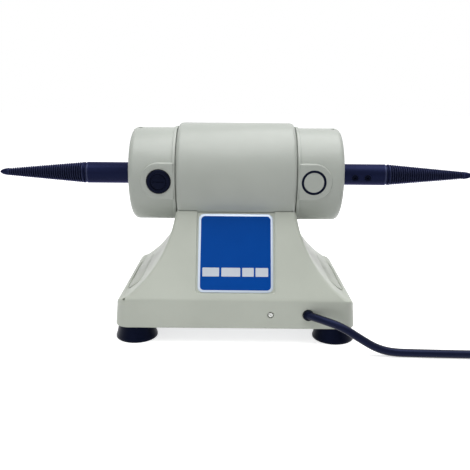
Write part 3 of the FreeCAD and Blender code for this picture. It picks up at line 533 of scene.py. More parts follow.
def end_finish(tree, inputs, height=None, depth=0.1):
    """Close a finish with its shader. Height is a 0 to 1 pattern and depth its size in millimetres."""
    if height is not None:
        bump = add(tree, "ShaderNodeBump", {"Height": height, "Distance": depth * MM, "Strength": 1.0})
        inputs = dict(inputs, Normal=bump.outputs["Normal"])
    shader = add(tree, "ShaderNodeBsdfPrincipled", inputs)
    add(tree, "ShaderNodeOutputMaterial", {"Surface": shader.outputs["BSDF"]})


PAINTED_BLUE_REFLECTION = "#8294e6"      # painted reflection: the reflections of the black parts are tinted bluish, though all round them is white
# painted highlight: the paler colour given to the thread crests and to the ring before the neck
PAINTED_HIGHLIGHT_COLOUR = "#3c4056"


def baked_enamel(name, dark, light, ripple):
    """Baked enamel over a casting or a rolled tube: a pale coat with a soft gloss, faint orange peel and
    slight unevenness of the casting under it."""
    finish, tree, where = start_finish(name)
    drift = grain(tree, where, 38.0, 3.0)
    peel = grain(tree, where, 1.6, 2.0)
    swell = grain(tree, where, 9.0, 2.0)
    height = add(tree, "ShaderNodeMath", {0: peel, 1: swell}, operation="ADD").outputs[0]
    shine = spread(tree, grain(tree, where, 5.0, 3.0), 0.36, 0.46)
    end_finish(tree, {"Base Color": tinted(tree, spread(tree, drift, 0.0, 1.0), dark, light),
                      "Roughness": shine, "Specular IOR Level": 0.5, "Coat Weight": 0.15,
                      "Coat Roughness": 0.25}, height, ripple)
    return finish


def black_oxide_steel(name, dark, light):
    """Turned steel, blackened: a bluish black with a dull sheen and a painted bluish tint in its reflections,
    and a painted highlight, a paler colour, on the thread crests and on a ring before the neck.
    """
    finish, tree, where = start_finish(name)
    cut = grain(tree, stretched(tree, where, (8.0, 1.0, 1.0)), 2.0, 3.0)
    # painted highlight: the attribute marks the thread crests and a ring before the neck, and these are mixed
    # towards a paler colour
    painted_highlight = add(tree, "ShaderNodeAttribute", attribute_name="painted_highlight").outputs["Fac"]
    highlight_share = between(tree, painted_highlight, 0.55, 1.0, 0.0, 0.55)
    end_finish(tree, {"Base Color": mixed(tree, highlight_share, tinted(tree, cut, dark, light), linear(PAINTED_HIGHLIGHT_COLOUR)),
                      "Metallic": 0.6, "Specular IOR Level": 0.3, "Specular Tint": linear(PAINTED_BLUE_REFLECTION),
                      "Roughness": spread(tree, cut, 0.34, 0.48)}, cut, 0.02)
    return finish


def moulded_rubber():
    """Moulded nitrile rubber: near black, with a dull sheen, a painted bluish tint in its reflections and a
    fine moulded grain.
    """
    finish, tree, where = start_finish("moulded_nitrile_rubber")
    fine = grain(tree, where, 0.8, 3.0)
    end_finish(tree, {"Base Color": tinted(tree, grain(tree, where, 12.0), "#020308", "#060914"),
                      "Roughness": spread(tree, fine, 0.28, 0.40), "IOR": 1.52,
                      "Specular IOR Level": 0.16, "Specular Tint": linear(PAINTED_BLUE_REFLECTION)}, fine, 0.03)
    return finish


def cord_jacket():
    """Extruded PVC jacket of a mains lead: bluish black, smooth, with a long soft highlight and a painted
    bluish tint in its reflections.
    """
    finish, tree, where = start_finish("extruded_pvc_jacket")
    fine = grain(tree, where, 1.2, 2.0)
    end_finish(tree, {"Base Color": tinted(tree, grain(tree, where, 20.0), "#06070f", "#0c0e1c"),
                      "Roughness": spread(tree, fine, 0.32, 0.42), "IOR": 1.53,
                      "Specular IOR Level": 0.30, "Specular Tint": linear(PAINTED_BLUE_REFLECTION)}, fine, 0.02)
    return finish


def moulded_phenolic():
    """Black phenolic moulding: hard, glossy and faintly mottled, with a painted bluish tint in its
    reflections.
    """
    finish, tree, where = start_finish("moulded_black_phenolic")
    mottle = grain(tree, where, 2.5, 3.0)
    end_finish(tree, {"Base Color": tinted(tree, mottle, "#040507", "#0b0c11"),
                      "Roughness": spread(tree, mottle, 0.24, 0.34), "IOR": 1.6,
                      "Specular IOR Level": 0.13, "Specular Tint": linear(PAINTED_BLUE_REFLECTION)}, mottle, 0.015)
    return finish


def printed_enamel(name, dark, light, roughness):
    """Screen-printed enamel on sheet aluminium: flat even colour with a low satin gloss."""
    finish, tree, where = start_finish(name)
    fine = grain(tree, where, 0.7, 2.0)
    end_finish(tree, {"Base Color": tinted(tree, grain(tree, where, 14.0), dark, light),
                      "Specular IOR Level": 0.06,
                      "Roughness": spread(tree, fine, roughness - 0.04, roughness + 0.04)}, fine, 0.008)
    return finish


def bright_metal(name, dark, light, roughness, grit, stretch=(1.0, 1.0, 1.0)):
    """A worked metal. The pattern is its grit or its tool marks, stretched along the direction of working."""
    finish, tree, where = start_finish(name)
    cut = grain(tree, stretched(tree, where, stretch), grit, 3.0)
    end_finish(tree, {"Base Color": tinted(tree, cut, dark, light), "Metallic": 1.0,
                      "Roughness": spread(tree, cut, roughness - 0.05, roughness + 0.07)}, cut, 0.01)
    return finish


def plain_solid(name, dark, light, roughness, size):
    """A pressed, sintered or laminated material that is never metallic."""
    finish, tree, where = start_finish(name)
    speck = grain(tree, where, size, 3.0)
    end_finish(tree, {"Base Color": tinted(tree, speck, dark, light),
                      "Roughness": spread(tree, speck, roughness - 0.06, roughness + 0.06)}, speck, 0.02)
    return finish


tube_enamel = baked_enamel("baked_enamel_on_rolled_steel", "#a9aea7", "#b0b5ae", 0.012)
cast_enamel = baked_enamel("baked_enamel_on_cast_iron", "#bbc0b5", "#c2c7bc", 0.03)
black_steel = black_oxide_steel("black_oxide_turned_steel", "#0a0d1e", "#161a34")
screw_steel = black_oxide_steel("black_oxide_alloy_screw", "#010204", "#04050a")
rubber = moulded_rubber()
jacket = cord_jacket()
phenolic = moulded_phenolic()
blue_ink = printed_enamel("screen_printed_blue_enamel", "#01459a", "#034aa4", 0.38)
black_ink = printed_enamel("screen_printed_black_enamel", "#0d0e12", "#15161b", 0.42)
pale_ink = printed_enamel("screen_printed_pale_enamel", "#cfd6e0", "#d8dee6", 0.42)
sheet_aluminium = bright_metal("satin_sheet_aluminium", "#a3adbb", "#b7c1ce", 0.42, 0.5, (1.0, 12.0, 1.0))
zinc = bright_metal("zinc_plated_steel", "#a9aaa8", "#c9cac6", 0.32, 0.6)
ground_steel = bright_metal("ground_bearing_steel", "#a8a9ab", "#c4c5c7", 0.22, 0.4, (6.0, 1.0, 1.0))
rolled_steel = bright_metal("cold_rolled_sheet_steel", "#7f8285", "#96999c", 0.42, 1.5, (1.0, 8.0, 1.0))
lamination = bright_metal("stacked_silicon_steel", "#5a5c60", "#7b7d82", 0.45, 0.5, (10.0, 1.0, 1.0))
copper = bright_metal("enamelled_copper_wire", "#8f4a26", "#b8683a", 0.35, 0.6, (1.0, 5.0, 5.0))
brass = bright_metal("stamped_brass", "#b08d4c", "#cfae68", 0.28, 0.5)
ferrite = plain_solid("sintered_ferrite", "#2a2b2e", "#3a3b3f", 0.6, 1.0)
carbon = plain_solid("pressed_carbon", "#151516", "#242425", 0.55, 0.6)
laminate_board = plain_solid("glass_epoxy_laminate", "#12492a", "#1a5c36", 0.4, 1.0)
nylon = plain_solid("woven_nylon_strap", "#121216", "#1f2026", 0.7, 0.8)


# Camera and cord

def set_camera():
    turn = rotated(90 - CAMERA_PITCH, "X") @ rotated(CAMERA_ROLL, "Z")
    bpy.ops.object.camera_add(location=CAMERA_AT * MM, rotation=turn.to_euler())
    camera = bpy.context.object
    camera.name = "photo_camera"
    camera.data.lens = LENS
    camera.data.sensor_width = 36.0
    camera.data.clip_start = 0.01
    bpy.context.scene.camera = camera


def coil_points():
    """Control points of the put-away turns: half turns in on the floor, one up, and out again on top."""
    step = COIL_PITCH / 2
    low = CORD_R + COIL_LIFT
    high = low + LAYER_RISE
    halves = [(COIL_OUT_R - k * step, low) for k in range(COIL_LOW_HALVES)]
    inner = COIL_OUT_R - COIL_LOW_HALVES * step
    halves.append((inner, high))
    halves += [(inner + (k + 1) * step, high) for k in range(COIL_TOP_HALVES)]
    halves.append((COIL_TAIL_R, PLUG_Z))
    at = COIL_CENTRE + Vector((0, -COIL_OUT_R, low))
    points = [at - X_AXIS * COIL_STRAIGHT]
    heading = 1
    for r, z in halves:
        to = Vector((at.x, at.y + 2 * r * heading, z))
        middle = (at + to) * 0.5
        for k in range(HALF_TURN_STEPS):
            a = math.pi * k / HALF_TURN_STEPS
            points.append(middle + (at - middle) * math.cos(a) + X_AXIS * heading * r * math.sin(a))
        at = to
        heading = -heading
    return points + [at, at + X_AXIS * heading * COIL_STRAIGHT]


def make_cord():
    route = [Vector(p) for p in CORD_ROUTE] + coil_points()
    curve = bpy.data.curves.new("mains_cord", "CURVE")
    curve.dimensions = "3D"
    spline = curve.splines.new("NURBS")
    spline.points.add(len(route) - 1)
    for point, at in zip(spline.points, route):
        point.co = (*(at * MM), 1.0)
    spline.order_u = 3
    spline.use_endpoint_u = True
    spline.resolution_u = 6
    curve.bevel_depth = CORD_R * MM
    curve.bevel_resolution = 5
    curve.use_fill_caps = True
    obj = bpy.data.objects.new("mains_cord", curve)
    bpy.context.scene.collection.objects.link(obj)
    finish_piece(obj, "base", "rubber", jacket, "cord", "cord_coil")
    return obj


def make_plug():
    return [finish_piece(copy_of_cad(node), "base", slot, finish, node) for node, slot, finish in (
        ("plug_body", "black_plastic", phenolic), ("plug_pins", "plug_brass", brass),
        ("cord_tie", "tie", nylon))]


set_camera()
mains_cord = make_cord()
make_plug()


# Motor

def at_station(x, r):
    """Test for ring edges of the motor at a station and a radius."""
    def chosen(a, b):
        return all(abs(p.x - x) < 0.01 and abs(math.hypot(p.y, p.z - AXIS_Z) - r) < 0.05 for p in (a, b))
    return chosen


def make_tube():
    inner = TUBE_R - TUBE_WALL
    tube = turned("rolled_motor_tube", [(-TUBE_HALF, inner), (-TUBE_HALF, TUBE_R), (TUBE_HALF, TUBE_R),
                                        (TUBE_HALF, inner), (-TUBE_HALF, inner)], 144)
    for x in (-TUBE_HALF, TUBE_HALF):
        round_edges(tube, at_station(x, TUBE_R), TUBE_EDGE_R, 6)
    smooth(tube, 30)
    finish_piece(tube, "base", "paint", tube_enamel, "motor_tube")


def tilt(front):
    """Turn about the motor axis that brings a port from 3 o'clock to its place."""
    to_axis = moved(0, 0, AXIS_Z)
    return to_axis @ rotated(PORT_TILT + (0 if front else 180), "X") @ to_axis.inverted()


def port_pad():
    """The D-shaped pad of the right bell, front, with a rounded rim."""
    outline = [(FLANGE_END_X - 1, -PAD_FACE, AXIS_Z - PAD_R)]
    for k in range(PAD_STEPS + 1):
        a = math.radians(-90 + 180 * k / PAD_STEPS)
        outline.append((PORT_X + PAD_R * math.cos(a), -PAD_FACE, AXIS_Z + PAD_R * math.sin(a)))
    outline.append((FLANGE_END_X - 1, -PAD_FACE, AXIS_Z + PAD_R))
    pad = slab("port_pad", outline, (0, PAD_DEPTH, 0))

    def rim(a, b):
        front = abs(a.y + PAD_FACE) < 0.01 and abs(b.y + PAD_FACE) < 0.01
        return front and not (abs(a.x - b.x) < 0.01 and a.x < FLANGE_END_X)
    round_edges(pad, rim, PAD_RIM_R, 4)
    room = rod("beside_tube", TUBE_R + 10, (TUBE_HALF + JOINT_GAP, 0, AXIS_Z), (BELL_END_X, 0, AXIS_Z), 64)
    combine(pad, room, "INTERSECT")
    return pad


def make_bells():
    spigot_r = TUBE_R - TUBE_WALL - JOINT_GAP
    wall = BELL_R - BELL_WALL
    bearing_end = BEARING_X + BEARING_W
    bearing_seat_r = BEARING_OUT_R + 0.02
    cup = [(SPIGOT_X, spigot_r), (TUBE_HALF + JOINT_GAP, spigot_r), (TUBE_HALF + JOINT_GAP, GROOVE_R),
           (TUBE_HALF + GROOVE_W, GROOVE_R), (TUBE_HALF + GROOVE_W, FLANGE_R), (FLANGE_END_X, FLANGE_R),
           (FLANGE_END_X, BELL_R), (BELL_END_X, BELL_R), (BELL_END_X, BELL_BORE_R),
           (bearing_end, BELL_BORE_R), (bearing_end, bearing_seat_r), (BEARING_X, bearing_seat_r),
           (BEARING_X, BEARING_OUT_R + BEARING_BOSS), (bearing_end, BEARING_OUT_R + BEARING_BOSS),
           (bearing_end, wall), (SPIGOT_X, wall)]
    bell = turned("right_bell_casting", cup + cup[:1], 144)
    round_edges(bell, at_station(BELL_END_X, BELL_R), BELL_EDGE_R, 6)
    round_edges(bell, at_station(FLANGE_END_X, FLANGE_R), FLANGE_EDGE_R, 2)
    round_edges(bell, at_station(TUBE_HALF + GROOVE_W, FLANGE_R), FLANGE_EDGE_R, 2)
    for front in (True, False):
        combine(bell, place(port_pad(), tilt(front)), "UNION")
    cut_away(bell, turned("bell_inside", [(SPIGOT_X - 2, 0), (SPIGOT_X - 2, wall), (BEARING_X, wall),
                                          (BEARING_X, 0)], 144))
    for front in (True, False):
        for r, start in ((PORT_BORE_R, PORT_BORE_FROM), (PORT_SEAT_R, PAD_FACE - PORT_SEAT_DEPTH)):
            hole = rod("port_hole", r, (PORT_X, -start, AXIS_Z), (PORT_X, -PAST_PAD, AXIS_Z), 64)
            cut_away(bell, place(hole, tilt(front)))
    for z in (AXIS_Z - BOLT_R_POS, AXIS_Z + BOLT_R_POS):
        cut_away(bell, rod("bolt_hole", BOLT_HOLE_R, (SPIGOT_X - 2, 0, z), (PAST_BELL_X, 0, z), 24))
        cut_away(bell, rod("bolt_pocket", BOLT_POCKET_R, (BELL_END_X - BOLT_POCKET_DEPTH, 0, z),
                           (PAST_BELL_X, 0, z), 32))
    top = AXIS_Z + BELL_R
    cut_away(bell, rod("shoulder_hole", SHOULDER_HOLE_R, (*SHOULDER_HOLE, top - SHOULDER_HOLE_DEPTH),
                       (*SHOULDER_HOLE, top + 4), 24))
    smooth(bell, 30)
    left = copy_of(bell, "left_bell_casting", MIRROR)
    finish_piece(bell, "base", "paint", tube_enamel, "right_end_bell")
    finish_piece(left, "base", "paint", tube_enamel, "left_end_bell")


def make_brush_caps():
    """Black screw caps: a rounded rim, a ring groove and a slotted middle."""
    cap = turned_upright("brush_cap", CAP_OUTLINE, 72)
    cut_away(cap, block("driver_slot", (-CAP_SLOT_HALF_L, -CAP_SLOT_HALF_W, CAP_SLOT_FLOOR),
                        (CAP_SLOT_HALF_L, CAP_SLOT_HALF_W, 40)))
    smooth(cap, 35)
    to_port = moved(-PORT_X, 0, AXIS_Z) @ rotated(90, "X")
    for front, end in ((True, "front"), (False, "rear")):
        other = copy_of(cap, "brush_cap_%s_moulded" % end, tilt(front) @ to_port)
        finish_piece(other, "base", "black_plastic", phenolic, "brush_cap_" + end)
    bpy.data.objects.remove(cap)


make_tube()
make_bells()
make_brush_caps()


# Spindles

def thread_profile(phase):
    """Depth of the thread, from 0 at the crest to 1 at the root, over one pitch."""
    flank = (1 - THREAD_CREST - THREAD_ROOT) / 2
    if phase < THREAD_CREST:
        return 0.0
    if phase < THREAD_CREST + flank:
        return (phase - THREAD_CREST) / flank
    if phase < THREAD_CREST + flank + THREAD_ROOT:
        return 1.0
    return (1.0 - phase) / flank


def make_spindle(name, side, screw_angle):
    """Adapter and tapered nose. Both threads come out right-handed, where the left should be left-handed."""
    slope = (TAPER_END_R - TAPER_R) / (TAPER_END_X - TAPER_X)
    rows = int((TAPER_END_X - THREAD_X) / THREAD_PITCH * THREAD_ROWS)
    collar_r, collar_end = SPINDLE_R + COLLAR_RISE, SPINDLE_X + COLLAR_L
    neck_r = SPINDLE_R - NECK_DEPTH
    body = [(BORE_TIP_X, 0), (BORE_END_X, SPINDLE_BORE_R), (SPINDLE_X, SPINDLE_BORE_R), (SPINDLE_X, collar_r),
            (collar_end, collar_r), (collar_end + 0.3, SPINDLE_R), (NECK_X - PAINTED_HIGHLIGHT_RING - 0.2, SPINDLE_R),
            (NECK_X - PAINTED_HIGHLIGHT_RING, SPINDLE_R), (NECK_X - NECK_DEPTH, SPINDLE_R), (NECK_X, neck_r),
            (TAPER_X - 0.4, neck_r), (TAPER_X, TAPER_R - 0.4)]
    for k in range(rows + 1):
        x = THREAD_X + k * THREAD_PITCH / THREAD_ROWS
        body.append((x, TAPER_R + slope * (x - TAPER_X)))
    body += [(TAPER_END_X + along, r) for along, r in BULLET_NOSE] + [(TIP_X, 0)]
    spindle = turned(name, body, 48)
    end = THREAD_X + rows * THREAD_PITCH / THREAD_ROWS
    # painted highlight: 1 on the ring before the neck and on the thread crests, which the finish turns paler
    painted_highlight = spindle.data.attributes.new("painted_highlight", "FLOAT", "POINT")
    for v in spindle.data.vertices:
        x, y, z = v.co.x / MM, v.co.y / MM, v.co.z / MM - AXIS_Z
        r = math.hypot(y, z)
        if NECK_X - PAINTED_HIGHLIGHT_RING - 0.1 < x < NECK_X - NECK_DEPTH + 0.1:
            painted_highlight.data[v.index].value = 1.0
        if THREAD_X - 0.01 < x < end + 0.01 and r > 2:
            phase = ((x - THREAD_X) / THREAD_PITCH - side * math.atan2(z, y) / (2 * math.pi)) % 1.0
            fade = min(1.0, (x - THREAD_X) / THREAD_FADE_IN, (end - x) / THREAD_FADE_OUT)
            deeper = THREAD_DEPTH * fade * thread_profile(phase)
            painted_highlight.data[v.index].value = 1.0 - thread_profile(phase)
            v.co.y *= (r - deeper) / r
            v.co.z = ((z * (r - deeper) / r) + AXIS_Z) * MM
    if side < 0:
        place(spindle, MIRROR)
    a = math.radians(screw_angle)
    out = Vector((0, -math.cos(a), -math.sin(a)))
    for x in SET_SCREW_X:
        middle = Vector((side * x, 0, AXIS_Z))
        for r, start in ((SET_SCREW_R, 4), (SET_SCREW_R + SCREW_SINK, SPINDLE_R - SCREW_SINK_DEPTH)):
            cut_away(spindle, rod("screw_hole", r, middle + out * start, middle + out * 12, 32))
    smooth(spindle, 40)
    finish_piece(spindle, "rotor", "black_steel", black_steel, name.replace("_turned", ""))


make_spindle("left_spindle_turned", -1, 195.0)
make_spindle("right_spindle_turned", 1, 12.0)


# Base

def face_matrix(side, along, x=0.0, proud=0.0):
    """Place on a sloping face: local x along the machine, y up the face and z out of it."""
    out = Vector((0, side * FACE_RISE, FACE_RUN)).normalized()
    up = Vector((0, -side * FACE_RUN, FACE_RISE)).normalized()
    right = up.cross(out)
    at = Vector((x, side * (SADDLE_Y + FACE_RUN * along), SADDLE_Z - FACE_RISE * along)) + out * proud
    m = Matrix((right, up, out)).transposed().to_4x4()
    m.translation = at * MM
    return m


def half_width(z):
    """Half width of the pedestal at a height: a skirt, its rounded ledge and the concave flank."""
    ledge = SKIRT_TOP - LEDGE_R
    if z <= ledge:
        return BASE_HALF_W + SKIRT_DRAFT * (ledge - z) / (ledge - FOOT_H)
    if z <= SKIRT_TOP:
        return BASE_HALF_W - LEDGE_R + math.sqrt(LEDGE_R ** 2 - (z - ledge) ** 2)
    return FLANK_X - math.sqrt(FLANK_R ** 2 - (FLANK_Z - z) ** 2)


def half_depth(z):
    """Half depth of the pedestal at a height: the skirt and the leaning face, with a rounded crease."""
    lean = math.atan2(FACE_RUN, FACE_RISE)
    start = SKIRT_TOP - CREASE_R * math.tan(lean / 2)
    if z <= start:
        return BASE_HALF_D
    if z <= start + CREASE_R * math.sin(lean):
        return BASE_HALF_D - CREASE_R + math.sqrt(CREASE_R ** 2 - (z - start) ** 2)
    return BASE_HALF_D - (z - SKIRT_TOP) * FACE_RUN / FACE_RISE


def corner_radius(z):
    """Plan radius of the pedestal's corners: wide on the skirt and narrow along the ridges."""
    t = min(1.0, max(0.0, (z - SKIRT_TOP + LEDGE_R) / RIDGE_RISE))
    return SKIRT_CORNER_R + (RIDGE_R - SKIRT_CORNER_R) * t * t * (3 - 2 * t)


def pedestal(name, inset, heights, foot_r=0.0):
    """The pedestal as a stack of rounded rectangles, set in by a wall thickness. A foot radius rounds its
    lower edge."""
    quarter = [math.radians(90 * k / CORNER_STEPS) for k in range(CORNER_STEPS + 1)]
    corners = ((1, 1, 0), (-1, 1, 90), (-1, -1, 180), (1, -1, 270))
    seats = [(sx, sy, a + math.radians(start)) for sx, sy, start in corners for a in quarter]

    def ring(z, shrink):
        r = corner_radius(z)
        w, d = half_width(z) - shrink, half_depth(z) - shrink
        return [(sx * (w - r) + r * math.cos(a), sy * (d - r) + r * math.sin(a), z) for sx, sy, a in seats]

    rings = [ring(heights[0] + foot_r * (1 - math.cos(a)), inset + foot_r * (1 - math.sin(a)))
             for a in quarter[::2] if foot_r]
    rings += [ring(z, inset) for z in heights[(1 if foot_r else 0):]]
    base = trace(name, rings[0])
    bpy.ops.mesh.edge_face_add()
    for low, high in zip(rings, rings[1:]):
        step = (0, 0, (high[0][2] - low[0][2]) * MM)
        bpy.ops.mesh.extrude_region_move(TRANSFORM_OT_translate={"value": step})
    leave_edit()
    for v, at in zip(base.data.vertices, [at for each in rings for at in each]):
        v.co = Vector(at) * MM
    bpy.ops.object.mode_set(mode="EDIT")
    close_up()
    return base


def upright(a, b):
    """Test for the edges of a block that run along z."""
    return abs(a.x - b.x) < 0.01 and abs(a.y - b.y) < 0.01


def rounded_plate(name, w, h, z0, z1, r, segments=6):
    plate = block(name, (-w / 2, -h / 2, z0), (w / 2, h / 2, z1))
    round_edges(plate, upright, r, segments)
    return plate


def obround(side, r, half, z0, z1):
    """Flat form with round ends and its place on a flank."""
    outline = []
    for k in range(17):
        a = math.pi * k / 16
        outline.append((r * math.cos(a), half + r * math.sin(a), z0))
    outline += [(-x, -y, z) for x, y, z in outline]
    form = slab("flank_form", outline, (0, 0, z1 - z0))
    a = math.radians(FLANK_PAD_ANGLE)
    out = Vector((math.cos(a), 0, -math.sin(a)))
    along = Vector((out.z, 0, -out.x))
    m = Matrix((along, Y_AXIS, out)).transposed().to_4x4()
    m.translation = Vector((-(FLANK_X + FLANK_R * math.cos(a)), 0, FLANK_Z + FLANK_R * math.sin(a))) * MM
    return form, (m if side < 0 else MIRROR @ m)


def eased_pocket(name, w, h):
    """A cutter for the plate recess, whose walls lean out near the surface."""
    pocket = rounded_plate(name, w, h, 0, RECESS_DEPTH - EDGE_EASE, RECESS_CORNER_R)
    top = RECESS_DEPTH - EDGE_EASE
    for rise, grow in ((2 * EDGE_EASE, 2 * EDGE_EASE), (5.0, 0.0)):
        pick_faces(pocket, lambda middle: middle.z > top - 0.01)
        bpy.ops.mesh.extrude_region_move(TRANSFORM_OT_translate={"value": (0, 0, rise * MM)})
        bpy.ops.transform.resize(value=((w + 2 * grow) / w, (h + 2 * grow) / h, 1))
        leave_edit()
        top += rise
    return pocket


def make_base():
    ledge = [SKIRT_TOP - LEDGE_R + LEDGE_R * math.sin(math.radians(90 * k / LEDGE_STEPS))
             for k in range(LEDGE_STEPS + 1)]
    rise = SADDLE_Z - SKIRT_TOP
    flank = [SKIRT_TOP + rise * (k / FLANK_ROWS) ** FLANK_CROWDING for k in range(1, FLANK_ROWS + 1)]
    base = pedestal("cast_base", 0, [FOOT_H, FOOT_H + SKIRT_FOOT_R + 0.5] + ledge + flank, SKIRT_FOOT_R)
    roof = AXIS_Z - TUBE_R - BASE_WALL
    cut_away(base, pedestal("hollow", BASE_WALL, [FOOT_H - 1, SKIRT_TOP - BASE_WALL, SKIRT_TOP]
                            + HOLLOW_ROWS + [roof]))
    pad_r = FLANK_PAD_W / 2
    straight = FLANK_PAD_HALF_L - pad_r
    for side in (-1, 1):
        gap, seat = obround(side, pad_r - FLANK_GAP_INSET, straight + FLANK_GAP_INSET + FLANK_GAP, -4, 4)
        cut_away(base, place(gap, seat))
        pad, seat = obround(side, pad_r, straight, -3, FLANK_PAD_RISE)
        round_edges(pad, lambda a, b: min(a.z, b.z) > FLANK_PAD_RISE - 0.01, FLANK_PAD_EDGE_R, 2)
        combine(base, place(pad, seat), "UNION")
    for side in (-1, 1):
        length = FACE_LEN * RECESS_FOOT + RECESS_RUN_OUT
        pocket = eased_pocket("pocket", 2 * RECESS_HALF_W, length)
        place(pocket, moved(0, RECESS_RUN_OUT - length / 2, -RECESS_DEPTH))
        cut_away(base, place(pocket, face_matrix(side, 0.0)))
    saddle_z = AXIS_Z + SADDLE_EASE - 0.02
    cut_away(base, rod("saddle", TUBE_R + SADDLE_EASE, (-100, 0, saddle_z), (100, 0, saddle_z), 180))
    cut_away(base, rod("cord_hole", CORD_HOLE_R, CORD_HOLE - Y_AXIS * 2, CORD_HOLE + Y_AXIS * 10))
    cut_away(base, rod("screw_seat", SKIRT_SCREW_SEAT_R, SKIRT_SCREW - Y_AXIS * 2,
                       SKIRT_SCREW + Y_AXIS * SKIRT_SCREW_SEAT_DEPTH, 24))
    cut_away(base, rod("core_pin_hole", CORE_PIN_HOLE_R, CORE_PIN_HOLE, CORE_PIN_HOLE + Vector((0, 4, -2)),
                       16))
    knob_hole = rod("knob_hole", KNOB_HOLE_R, (0, 0, -12), (0, 0, 8))
    cut_away(base, place(knob_hole, face_matrix(1, CONTROLS_ALONG, KNOB_X)))
    slot = block("switch_slot", (-SWITCH_HALF_W, -SWITCH_HALF_H, -12), (SWITCH_HALF_W, SWITCH_HALF_H, 8))
    cut_away(base, place(slot, face_matrix(1, CONTROLS_ALONG, SWITCH_X)))
    smooth(base, 30)
    finish_piece(base, "base", "paint", cast_enamel, "base_casting")


make_base()


def make_skirt_screw():
    """Small domed screw with a slot, set in the skirt."""
    screw = turned_upright("slotted_screw", SKIRT_SCREW_OUTLINE, 32)
    slot = block("screw_slot", (-2.5, -0.35, -0.6), (2.5, 0.35, 1.0))
    cut_away(screw, place(slot, rotated(SKIRT_SCREW_TURN, "Z")))
    smooth(screw, 30)
    place(screw, moved(*SKIRT_SCREW) @ rotated(90, "X"))
    finish_piece(screw, "base", "zinc_steel", zinc, "skirt_screw")


make_skirt_screw()


def make_feet():
    foot = turned_upright("suction_foot", FOOT_OUTLINE, 72)
    smooth(foot, 50)
    for end, y in (("front", -FOOT_Y), ("rear", FOOT_Y)):
        for side, x in (("left", -FOOT_X), ("right", FOOT_X)):
            name = "%s_%s" % (end, side)
            other = copy_of(foot, "suction_foot_" + name, moved(x, y, 0))
            finish_piece(other, "base", "rubber", rubber, "foot_" + name)
    bpy.data.objects.remove(foot)


make_feet()


def make_nameplate():
    """Blank plate: bare sheet with a printed blue field and four empty boxes."""
    seat = face_matrix(-1, NAME_ALONG, 0, -RECESS_DEPTH + 0.02)
    plate = rounded_plate("nameplate_sheet", *NAME_SHEET)
    soften(plate, NAME_SHEET_EDGE_R, 2, 40)
    smooth(place(plate, seat), 30)
    finish_piece(plate, "base", "nameplate", sheet_aluminium, "nameplate")
    field = rounded_plate("nameplate_blue_field", *NAME_FIELD)
    smooth(place(field, seat), 30)
    finish_piece(field, "base", "nameplate", blue_ink)
    for k, (x0, x1) in enumerate(NAME_BOXES):
        box = rounded_plate("nameplate_box_%d" % (k + 1), x1 - x0, *NAME_BOX)
        place(box, moved((x0 + x1) / 2, NAME_BOX_Y, 0))
        smooth(place(box, seat), 30)
        finish_piece(box, "base", "nameplate", pale_ink)


make_nameplate()


def make_marks():
    """Line on the knob, ticks round it, and a bar and a ring on the rocker."""
    dial = face_matrix(1, CONTROLS_ALONG, KNOB_X)
    line = block("knob_line", (KNOB_LINE[0], -KNOB_LINE_HALF_W, KNOB_TOP - 0.4),
                 (KNOB_LINE[1], KNOB_LINE_HALF_W, KNOB_TOP + 0.12))
    round_edges(line, upright, 0.4, 3)
    place(line, dial @ rotated(KNOB_START, "Z"))
    finish_piece(line, "knob", "nameplate", pale_ink)
    tick = block("dial_tick", (TICK[0], -TICK_HALF_W, -RECESS_DEPTH - 0.2),
                 (TICK[1], TICK_HALF_W, -RECESS_DEPTH + 0.06))
    for k in range(DIAL_TICKS):
        turn = rotated(KNOB_START - KNOB_TURN * k / (DIAL_TICKS - 1), "Z")
        finish_piece(copy_of(tick, "dial_tick_%d" % k, dial @ turn), "base", "black_plastic", black_ink)
    bpy.data.objects.remove(tick)
    tip = face_matrix(1, CONTROLS_ALONG, SWITCH_X) @ moved(0, 0, ROCKER_PIVOT)
    tip = tip @ rotated(-ROCKER_TILT, "X") @ moved(0, 0, ROCKER_MIDDLE)
    bar = block("rocker_bar", (-BAR_HALF_W, MARK_Y - BAR_HALF_H, -0.2),
                (BAR_HALF_W, MARK_Y + BAR_HALF_H, 0.1))
    place(bar, tip @ rotated(ROCKER_SLOPE, "X"))
    finish_piece(bar, "rocker", "nameplate", pale_ink)
    ring = turned_upright("rocker_ring", [(RING_IN_R, -0.2), (RING_OUT_R, -0.2), (RING_OUT_R, 0.1),
                                          (RING_IN_R, 0.1), (RING_IN_R, -0.2)], 32)
    place(ring, tip @ rotated(-ROCKER_SLOPE, "X") @ moved(0, -MARK_Y, 0))
    finish_piece(ring, "rocker", "nameplate", pale_ink)


make_marks()


# Pieces taken over from the frame with a smooth surface
for node, body, slot_name, finish in (
        ("port_plug_front", "base", "paint", tube_enamel), ("port_plug_rear", "base", "paint", tube_enamel),
        ("port_ring_front", "base", "rubber", rubber), ("port_ring_rear", "base", "rubber", rubber),
        ("speed_knob", "knob", "black_plastic", phenolic), ("switch_body", "base", "black_plastic", phenolic),
        ("switch_rocker", "rocker", "black_plastic", phenolic), ("cord_bushing", "base", "rubber", rubber),
        ("through_bolts", "base", "zinc_steel", zinc), ("through_bolt_nuts", "base", "zinc_steel", zinc)):
    finish_piece(copy_of_cad(node), body, slot_name, finish, node)

